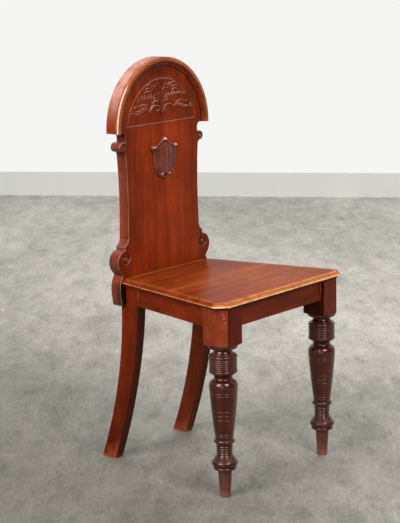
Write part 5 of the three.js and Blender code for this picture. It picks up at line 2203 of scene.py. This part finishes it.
@dataclass
class HoodMoulding:
    """The half-round moulding planted on the head of the board, swept along its arch."""

    radius: float = 157
    end: float = 772
    stilt: float = 5
    width: float = 20
    projection: float = 10
    gap: float = 0.3
    steps: int = 120
    crown_place: float = 0.74
    crown_wear_and_glint: float = 0.44
    crown_reach: float = 4.5
    right_side_light: float = 0.3
    inner_grime: float = 0.8
    inner_reach: float = 2.8

    def section(self) -> Line:
        """The section as distance out from the inner edge and height over the board.

        Returns:
            Its points.
        """
        shares = [(0, 0.16), (0.07, 0.2), (0.1, 0.2), (0.13, 0.24), (0.24, 0.33), (0.34, 0.5), (0.41, 0.74),
                  (0.45, 0.86), (0.49, 0.88), (0.51, 0.86), (0.56, 0.93), (0.64, 0.99), (0.72, 1),
                  (0.8, 0.98), (0.88, 0.93), (0.94, 0.85), (0.98, 0.74), (1, 0.6)]
        smooth_line = through(shares, 3)
        return [(across * self.width, out * self.projection) for across, out in smooth_line]

    def tree(self, finish: Material) -> NodeTree:
        """The rule of the moulding: an arch on two short stilts with the section carried along it.

        Args:
            finish: The material set at its end.

        Returns:
            The node tree.
        """
        kinds = {"Section": "Geometry", "Radius": "Float", "Stilt": "Float", "Centre": "Vector",
                 "Steps": "Int"}
        graph, given = rule("Hood moulding", kinds, "Moulding")
        section = graph.out("GeometryNodeMeshToCurve", {"Mesh": given["Section"]})
        arch = graph.node("GeometryNodeCurveArc", {
            "Resolution": given["Steps"], "Radius": given["Radius"], "Start Angle": 0.0,
            "Sweep Angle": math.pi,
        }).outputs[0]
        index = graph.out("GeometryNodeInputIndex")
        last = graph.maths("SUBTRACT", given["Steps"], 1.0)
        first_point = graph.node("FunctionNodeCompare", {2: index, 3: 0}, data_type="INT",
                                 operation="EQUAL").outputs[0]
        last_point = graph.node("FunctionNodeCompare", {0: index, 1: last}, data_type="FLOAT",
                                operation="EQUAL").outputs[0]
        ends = graph.out("FunctionNodeBooleanMath", {0: first_point, 1: last_point}, operation="OR")
        drop = graph.out("ShaderNodeCombineXYZ", {"Y": graph.times(given["Stilt"], -1.0)})
        stilted = graph.node("GeometryNodeSetPosition", {"Geometry": arch, "Selection": ends,
                                                         "Offset": drop}).outputs[0]
        level = graph.node("GeometryNodeSetCurveNormal", {"Curve": stilted})
        level.mode = "Z_UP"
        swept = graph.node("GeometryNodeCurveToMesh", {"Curve": level.outputs[0], "Profile Curve": section,
                                                       "Fill Caps": True}).outputs[0]
        raised_up = graph.node("GeometryNodeTransform", {
            "Geometry": swept, "Rotation": (math.pi / 2, 0, 0), "Translation": given["Centre"],
        }).outputs[0]
        return graph.realized(raised_up, finish)

    def build(self, finishes: Finishes) -> None:
        """Makes the moulding.

        Args:
            finishes: The chair's finishes.
        """
        loop = self.section()
        loop = [*loop, (self.width, 0), (0, 0)]
        mesh = bpy.data.meshes.new("Hood section")
        corners = [((across - self.width) * MM, -out * MM, 0) for across, out in loop]
        edges = [(i, (i + 1) % len(corners)) for i in range(len(corners))]
        mesh.from_pydata(corners, edges, [])
        carrier = placed("hood_section", mesh)
        centre = (0, (DRAWING_Y + BOARD_FACE_Y - self.gap) * MM, (self.end + self.stilt) * MM)
        values = {"Radius": self.radius * MM, "Stilt": self.stilt * MM, "Centre": centre, "Steps": self.steps}
        made = grown(carrier, self.tree(finishes.hood), values, "swept_hood_moulding")
        mark_bends(made.data)
        self.rub(made.data)
        smooth(made.data, 45)
        join_up(made, finishes.hood, "mahogany", "hood_moulding")

    def rub(self, mesh: Mesh) -> None:
        """Wears the outer side bare and the crown thin, with a painted highlight on the crown that grows
        towards the right, and paints shade into the inner hollow.

        Args:
            mesh: The mesh of the moulding, in metres.
        """
        places = points_of(mesh)
        x, z = places[:, 0], places[:, 2] - self.end - self.stilt
        across = np.where(z > 0, np.hypot(x, z), np.abs(x)) - self.radius + self.width
        proud = BOARD_FACE_Y + DRAWING_Y - places[:, 1]
        outer = smooth_step((across - self.width * 0.93) / 1.2) * smooth_step((proud - 0.8) / 1.5)
        outer *= 1 - 0.55 * smooth_step((z - self.radius * 0.5) / 50)
        # Wear and a painted highlight on the crown, with painted light stronger on the right-hand side.
        worn = self.crown_wear_and_glint + self.right_side_light * smooth_step(x / 50)
        crown = worn * bell(across - self.width * self.crown_place, self.crown_reach)
        store(mesh, WEAR_AND_GLINT, np.maximum(outer, crown))
        # Painted shade in the inner hollow.
        raised(mesh, SHADE_AND_GRIME, self.inner_grime * bell(across, self.inner_reach))


def grown(carrier: Object, tree: NodeTree, values: dict[str, object], name: str) -> Object:
    """Runs a tree on an object and keeps its result as a plain mesh.

    Args:
        carrier: The object that the tree starts from, which is used up.
        tree: The node tree.
        values: A value for each named input.
        name: Name of the new piece.

    Returns:
        The new piece.
    """
    modifier = carrier.modifiers.new("Rule", "NODES")
    modifier.node_group = tree
    for item in tree.interface.items_tree:
        if item.in_out == "INPUT" and item.name in values:
            modifier[item.identifier] = values[item.name]
    shown = carrier.evaluated_get(bpy.context.evaluated_depsgraph_get())
    mesh = bpy.data.meshes.new_from_object(shown)
    mesh.name = name
    carrier.modifiers.remove(modifier)
    bpy.data.objects.remove(carrier)
    cleaned(mesh, 0.1 * MERGED)
    return placed(name, mesh)


class Facing(Enum):
    """Which way the head of a fastener looks, as turns about X, Y and Z."""

    DOWN = (math.pi, 0.0, 0.0)
    BACK = (-math.pi / 2, 0.0, 0.0)
    FRONT = (math.pi / 2, 0.0, 0.0)


@dataclass
class Fasteners:
    """A set of alike round fasteners, drawn once with the head up and the point down."""

    name: str
    prefix: str
    facing: Facing
    radius: float
    seed: int
    sides: int = 24
    crease: float = 35

    def draft(self, length: float) -> Draft:
        """Draws one fastener of a length."""
        raise NotImplementedError

    def turned(self, draft: Draft, rows: Iterable[Pair]) -> tuple[int, int]:
        """Turns rows of radius and height, and returns the places of the first and the last ring."""
        angles = np.linspace(0, 2 * math.pi, self.sides, endpoint=False)
        return draft.skin([around(radius, angles, height) for radius, height in rows])

    def places(self, nodes: Sequence[str]) -> tuple[list[Vector], float]:
        """Where the heads are, and how long the fasteners are.

        Args:
            nodes: Their nodes.

        Returns:
            The middle of each head in metres, and the length in millimetres.
        """
        axis = 2 if self.facing is Facing.DOWN else 1
        found = []
        for node in nodes:
            low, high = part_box(node)
            middle = (low + high) / 2
            middle[axis] = (high if self.facing is Facing.BACK else low)[axis]
            found.append(middle)
        return found, (high[axis] - low[axis]) / MM

    def tree(self, finish: Material) -> NodeTree:
        """The rule that sets one shape on every point of a cloud, each turned about its own axis.

        Args:
            finish: The material set at its end.

        Returns:
            The node tree.
        """
        kinds = {"Places": "Geometry", "Shape": "Object", "Facing": "Vector", "Size": "Float", "Seed": "Int"}
        graph, given = rule(self.name, kinds, "Pieces")
        shape = graph.node("GeometryNodeObjectInfo", {"Object": given["Shape"]}).outputs["Geometry"]
        cloud = graph.out("GeometryNodeMeshToPoints", {"Mesh": given["Places"]})
        turn = graph.node("FunctionNodeRandomValue", {"Seed": given["Seed"]}, data_type="FLOAT")
        turn.inputs[2].default_value = 0.0
        turn.inputs[3].default_value = 2 * math.pi
        spin = graph.node("ShaderNodeCombineXYZ", {"Z": turn.outputs[1]}).outputs[0]
        inputs = {"Points": cloud, "Instance": shape, "Scale": given["Size"]}
        set_out = graph.out("GeometryNodeInstanceOnPoints", inputs)
        inputs = {"Instances": set_out, "Rotation": given["Facing"]}
        faced = graph.out("GeometryNodeRotateInstances", inputs)
        inputs = {"Instances": faced, "Rotation": spin, "Local Space": True}
        return graph.realized(graph.node("GeometryNodeRotateInstances", inputs).outputs[0], finish)

    def carrier(self, word: str, points: Sequence[Sequence[float]],
                faces: Sequence[tuple[int, ...]]) -> Object:
        """An object of some points and faces.

        Args:
            word: What it holds.
            points: The points in metres.
            faces: The places of each face's points.

        Returns:
            The object.
        """
        mesh = bpy.data.meshes.new(f"{self.name}_{word}")
        mesh.from_pydata(points, [], faces)
        return placed(f"{self.name}_{word}", mesh)

    def build(self, material: Material, slot: str) -> None:
        """Makes the whole set as one piece.

        Args:
            material: Its finish.
            slot: The record's name for that finish.
        """
        nodes = sorted(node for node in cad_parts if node.startswith(self.prefix))
        places, length = self.places(nodes)
        draft = self.draft(length)
        shape = self.carrier("shape", (np.vstack(draft.blocks) * MM).tolist(), draft.faces)
        cloud = self.carrier("places", [tuple(place) for place in places], [])
        values = {"Shape": shape, "Facing": self.facing.value, "Size": 1.0, "Seed": self.seed}
        made = grown(cloud, self.tree(material), values, self.name)
        bpy.data.objects.remove(shape)
        mark_bends(made.data)
        smooth(made.data, self.crease)
        join_up(made, material, slot, *nodes)


@dataclass
class Screws(Fasteners):
    """Wood screws with slotted countersunk heads."""

    shank: float = 2.2
    sink: float = 2.8
    thread_pitch: float = 2.2
    thread_depth: float = 0.35
    rim: float = 0.35
    rim_drop: float = 0.05
    slot_share: float = 0.125

    def draft(self, length: float) -> Draft:
        """Draws one screw.

        Args:
            length: From the top of the head to the point.

        Returns:
            The draft.
        """
        core, pitch = self.shank - 0.15, self.thread_pitch
        z = -length * 0.42
        rows = [(self.radius - self.rim, -self.rim_drop), (self.radius - 0.1, -0.3),
                (self.radius - 0.1, -0.5), (core, -self.sink), (core, z)]
        while z > -length + self.shank + pitch:
            rows += [(core - self.thread_depth, z - pitch * 0.3), (core, z - pitch * 0.8), (core, z - pitch)]
            z -= pitch
        rows.append((self.shank * 0.6, -length + self.shank * 0.8))
        draft = Draft()
        first, last = self.turned(draft, rows)
        self.slotted(draft, first)
        draft.fan(last, self.sides, (0, 0, -length))
        return draft

    def slotted(self, draft: Draft, first: int) -> None:
        """Closes the head with a straight slot across it.

        Args:
            draft: The draft with the head's ring.
            first: Place of the ring's first point.
        """
        slot = self.slot_share * self.radius
        reach = self.radius - self.rim
        depth = -0.3 * self.sink - self.rim_drop
        wide = math.sqrt(reach * reach - slot * slot)
        half = self.sides // 2
        ends = ((wide, slot), (-wide, slot), (-wide, -slot), (wide, -slot))
        start = draft.add(np.array([(x, y, z) for z in (-self.rim_drop, depth) for x, y in ends]))
        right, left = first, first + half
        upper = [first + i for i in range(1, half)]
        lower = [left + i for i in range(1, half)]
        draft.faces += [
            (start, *upper, start + 1), (start + 2, *lower, start + 3),
            (start, start + 1, start + 5, start + 4), (start + 2, start + 3, start + 7, start + 6),
            (start + 4, start + 5, start + 6, start + 7), (start + 3, start + 7, start + 4, start, right),
            (start + 1, start + 5, start + 6, start + 2, left), (start, first + 1, right),
            (start + 3, right, first + self.sides - 1), (start + 1, left, left - 1),
            (start + 2, left + 1, left),
        ]


@dataclass
class Pegs(Fasteners):
    """Round pins or dowels with eased ends."""

    proud: float = 0
    sides: int = 16
    crease: float = 45

    def draft(self, length: float) -> Draft:
        """Draws one peg.

        Args:
            length: From end to end.

        Returns:
            The draft.
        """
        radius, top = self.radius, self.proud
        ease = radius * 0.3
        rows = [(radius - ease * 1.8, top), (radius - ease, top - ease * 0.2),
                (radius - ease * 0.3, top - ease * 0.55), (radius, top - ease * 1.2),
                (radius, -length * 0.5), (radius, -length + ease), (radius - ease, -length)]
        draft = Draft()
        first, last = self.turned(draft, rows)
        draft.fan(first, self.sides, (0, 0, top + ease * 0.1))
        draft.fan(last, self.sides, (0, 0, -length))
        return draft


@dataclass(frozen=True)
class Concrete:
    """Pale trowelled concrete with darker clouds and a few light scuffs, with a painted fall-off of light
    across it and a painted pool of light.
    """

    name: str
    tone: Tone
    mottling: float
    trodden: Triple = (0.54, 0.535, 0.51)
    falloff_way: Triple = (1, -0.1, 0)
    falloff_span: Pair = (-0.7, 1.6)
    light_pool_place: Triple = (-0.15, -0.2, 0)
    light_pool_span: Pair = (0.15, 0.6)
    light_pool_tone: Tone = (238, 238, 238)
    turn: float = -40
    roughness: Pair = (0.5, 0.68)

    def material(self) -> Material:
        """Builds the finish.

        Returns:
            The material.
        """
        made, graph, place = blank(self.name)
        turn = (0, 0, math.radians(self.turn))
        turned = graph.out("ShaderNodeMapping", {"Vector": place, "Rotation": turn})
        cloud = graph.noise(graph.scaled(turned, (0.9, 2.2, 1)), 7, 0.66, 0.7)
        patch = graph.noise(graph.scaled(turned, (4.5, 12, 1), (3, 1, 0)), 7, 0.7, 0.3)
        scuff = graph.noise(graph.scaled(turned, (11, 30, 1), (8, 2, 0)), 5, 0.7, 0.6)
        grit = graph.noise(graph.scaled(turned, (45, 130, 1)), 4, 0.7)
        # Painted shade: darker along one direction across the floor.
        depth = graph.vectors("DOT_PRODUCT", place, self.falloff_way).outputs["Value"]
        falloff_tone = tuple(int(channel * share) for channel, share in zip(self.tone, self.trodden))
        trodden = graph.spread(depth, *self.falloff_span, self.mottling, 0)
        colour = graph.blend(trodden, linear(self.tone), linear(falloff_tone))
        # Painted pool of light round a place near the chair.
        light_pool = graph.vectors("DISTANCE", place, self.light_pool_place).outputs["Value"]
        light_pool_share = graph.spread(light_pool, *self.light_pool_span, 0, self.mottling)
        colour = graph.blend(light_pool_share, colour, linear(self.light_pool_tone), "MULTIPLY")
        for pattern, low, high, share in (
                (grit, 0.4, 0.6, 0.82), (cloud, 0.36, 0.66, 0.78), (patch, 0.42, 0.66, 0.78),
                (scuff, 0.5, 0.68, 0.76), (scuff, 0.44, 0.3, 1.26)):
            shade = graph.spread(pattern, low, high, 1, 1 + (share - 1) * self.mottling)
            colour = graph.shaded(colour, shade)
        rough = graph.spread(cloud, 0.3, 0.7, *self.roughness)
        inputs = {"Base Color": colour, "Roughness": rough, "Specular IOR Level": 0.3}
        graph.surface(patch, 0.1, 0.002, inputs)
        return made


@dataclass
class Studio:
    """The pale floor, the soft lamps and the camera."""

    camera_place: Triple = (-2.73219, -2.30453, 1.20770)
    azimuth: float = -49.519
    elevation: float = 11.6245
    roll: float = -1.1819
    lens: float = 109.717
    wall_azimuth: float = 121.02
    wall_away: float = 3.762
    base_height: float = 0.113
    floor_reach: float = 7.0
    floor_tone: Tone = (211, 209, 201)
    base_tone: Tone = (196, 199, 198)
    wall_tone: Tone = (245, 245, 244)
    base_mottling: float = 0.06
    window_way: Triple = (-0.94, -0.1, 0.33)
    aim: Triple = (0, 0, 0.45)

    @staticmethod
    def toward(azimuth: float, elevation: float) -> Vector:
        """The direction of an azimuth, 0 in front of the chair, and an elevation in degrees."""
        turn, lift = math.radians(azimuth), math.radians(elevation)
        return Vector((math.sin(turn) * math.cos(lift), -math.cos(turn) * math.cos(lift), math.sin(lift)))

    def camera(self) -> None:
        """Sets the camera where the photograph was taken from."""
        roll = math.radians(self.roll)
        back = self.toward(self.azimuth, self.elevation)
        level = (-back).cross(Vector((0, 0, 1))).normalized()
        upright = level.cross(-back)
        right = level * math.cos(roll) + upright * math.sin(roll)
        up = upright * math.cos(roll) - level * math.sin(roll)
        data = bpy.data.cameras.new("Camera")
        data.lens = self.lens
        data.sensor_width = 36
        made = bpy.data.objects.new("Camera", data)
        turned = Matrix((right, up, back)).transposed().to_4x4()
        made.matrix_world = Matrix.Translation(self.camera_place) @ turned
        bpy.context.scene.collection.objects.link(made)
        bpy.context.scene.camera = made

    def along_wall(self, across: float, off: float) -> Pair:
        """A place on the floor.

        Args:
            across: How far along the wall's line, in metres.
            off: How far off the wall towards the chair, in metres.

        Returns:
            X and Y in metres.
        """
        turn = math.radians(self.wall_azimuth)
        outward = Vector((math.sin(turn), -math.cos(turn)))
        place = outward * (self.wall_away - off) + Vector((-outward.y, outward.x)) * across
        return place.x, place.y

    def ground(self) -> None:
        """Lays the floor up to the wall, and the low base along the wall."""
        reach = self.floor_reach
        corners = [(-reach, 0), (-reach, 2 * reach), (reach, 2 * reach), (reach, 0)]
        floor = [(*self.along_wall(across, off), 0) for across, off in corners]
        base = [(*self.along_wall(across, 0), z) for across, z in
                ((-reach, 0), (reach, 0), (reach, self.base_height), (-reach, self.base_height))]
        laid = Concrete("Floor", self.floor_tone, 1.0)
        low_wall = Concrete("Wall base", self.base_tone, self.base_mottling)
        for name, points, finish in (("floor", floor, laid), ("wall_base", base, low_wall)):
            mesh = bpy.data.meshes.new(name)
            mesh.from_pydata(points, [], [(0, 1, 2, 3)])
            mesh.materials.append(finish.material())
            placed(name, mesh)

    def world(self) -> None:
        """The room: a near-white wall for the camera, and light that falls off from wall and window."""
        world = bpy.data.worlds.new("Room")
        bpy.context.scene.world = world
        world.use_nodes = True
        graph = Graph(world.node_tree)
        seen = graph.node("ShaderNodeLightPath").outputs["Is Camera Ray"]
        toward = graph.node("ShaderNodeTexCoord").outputs["Generated"]
        turn = math.radians(self.wall_azimuth)
        wall = (math.sin(turn), -math.cos(turn), 0)
        facing = graph.vectors("DOT_PRODUCT", toward, wall).outputs["Value"]
        window = graph.vectors("DOT_PRODUCT", toward, self.window_way).outputs["Value"]
        room = graph.maths("MAXIMUM", graph.spread(facing, 0.1, 0.6, 0.07, 0.7),
                           graph.spread(window, 0.2, 0.9, 0.07, 0.5))
        strength = graph.maths("MAXIMUM", seen, room)
        back = graph.node("ShaderNodeBackground", {"Color": linear(self.wall_tone), "Strength": strength})
        graph.node("ShaderNodeOutputWorld", {"Surface": back.outputs[0]})

    def lamp(self, name: str, azimuth: float, elevation: float, away: float, size: Pair,
             power: float, tone: Tone) -> None:
        """Hangs one soft lamp that faces the chair.

        Args:
            name: Its name.
            azimuth: Its direction about the chair in degrees, 0 in front.
            elevation: Its direction over the floor in degrees.
            away: Its distance in metres.
            size: Its width and height in metres.
            power: Its power in watts.
            tone: Its colour.
        """
        data = bpy.data.lights.new(name, "AREA")
        data.shape = "RECTANGLE"
        data.size, data.size_y = size
        data.energy = power
        data.color = linear(tone)[:3]
        made = bpy.data.objects.new(name, data)
        direction = self.toward(azimuth, elevation)
        made.location = Vector(self.aim) + direction * away
        made.rotation_mode = "QUATERNION"
        made.rotation_quaternion = (-direction).to_track_quat("-Z", "Y")
        made.visible_camera = False
        bpy.context.scene.collection.objects.link(made)

    def build(self) -> None:
        """Sets the stage."""
        bpy.context.scene.view_settings.view_transform = "Standard"
        self.camera()
        self.ground()
        self.world()
        self.lamp("Left window", -92, 34, 6.4, (3.2, 4.0), 420, (255, 250, 244))
        self.lamp("Front window", -18, 40, 6.4, (2.4, 3.0), 300, (255, 250, 244))
        self.lamp("Low fill", -62, 7, 6.0, (3.0, 1.4), 30, (255, 248, 238))
        self.lamp("Overhead", 110, 72, 5.0, (3.5, 3.5), 150, (255, 252, 248))


def main() -> None:
    """Builds the chair around the frame, then the stage."""
    finishes = Finishes()
    for part in (TurnedLegs(), SeatFrame(), Seat(), BackBoard(), Shield(), HoodMoulding()):
        part.build(finishes)
        log.info("%s done", type(part).__name__)
    Screws("seat_screws", "seat_screw", Facing.DOWN, 4.4, 3).build(finishes.steel, "steel")
    for word, head, shank, sink, seed in (("back", 5.2, 2.6, 3.2, 5), ("shield", 3.8, 1.9, 2.4, 8)):
        screws = Screws(f"{word}_screws", f"{word}_screw", Facing.BACK, head, seed, shank=shank, sink=sink)
        screws.build(finishes.steel, "steel")
    Pegs("hood_pins", "hood_pin", Facing.FRONT, 0.8, 4, proud=0.1).build(finishes.pins, "steel")
    Pegs("seat_dowels", "seat_dowel", Facing.FRONT, 3.5, 6).build(finishes.raw, "block_wood")
    Studio().build()


if __name__ == "__main__":
    main()
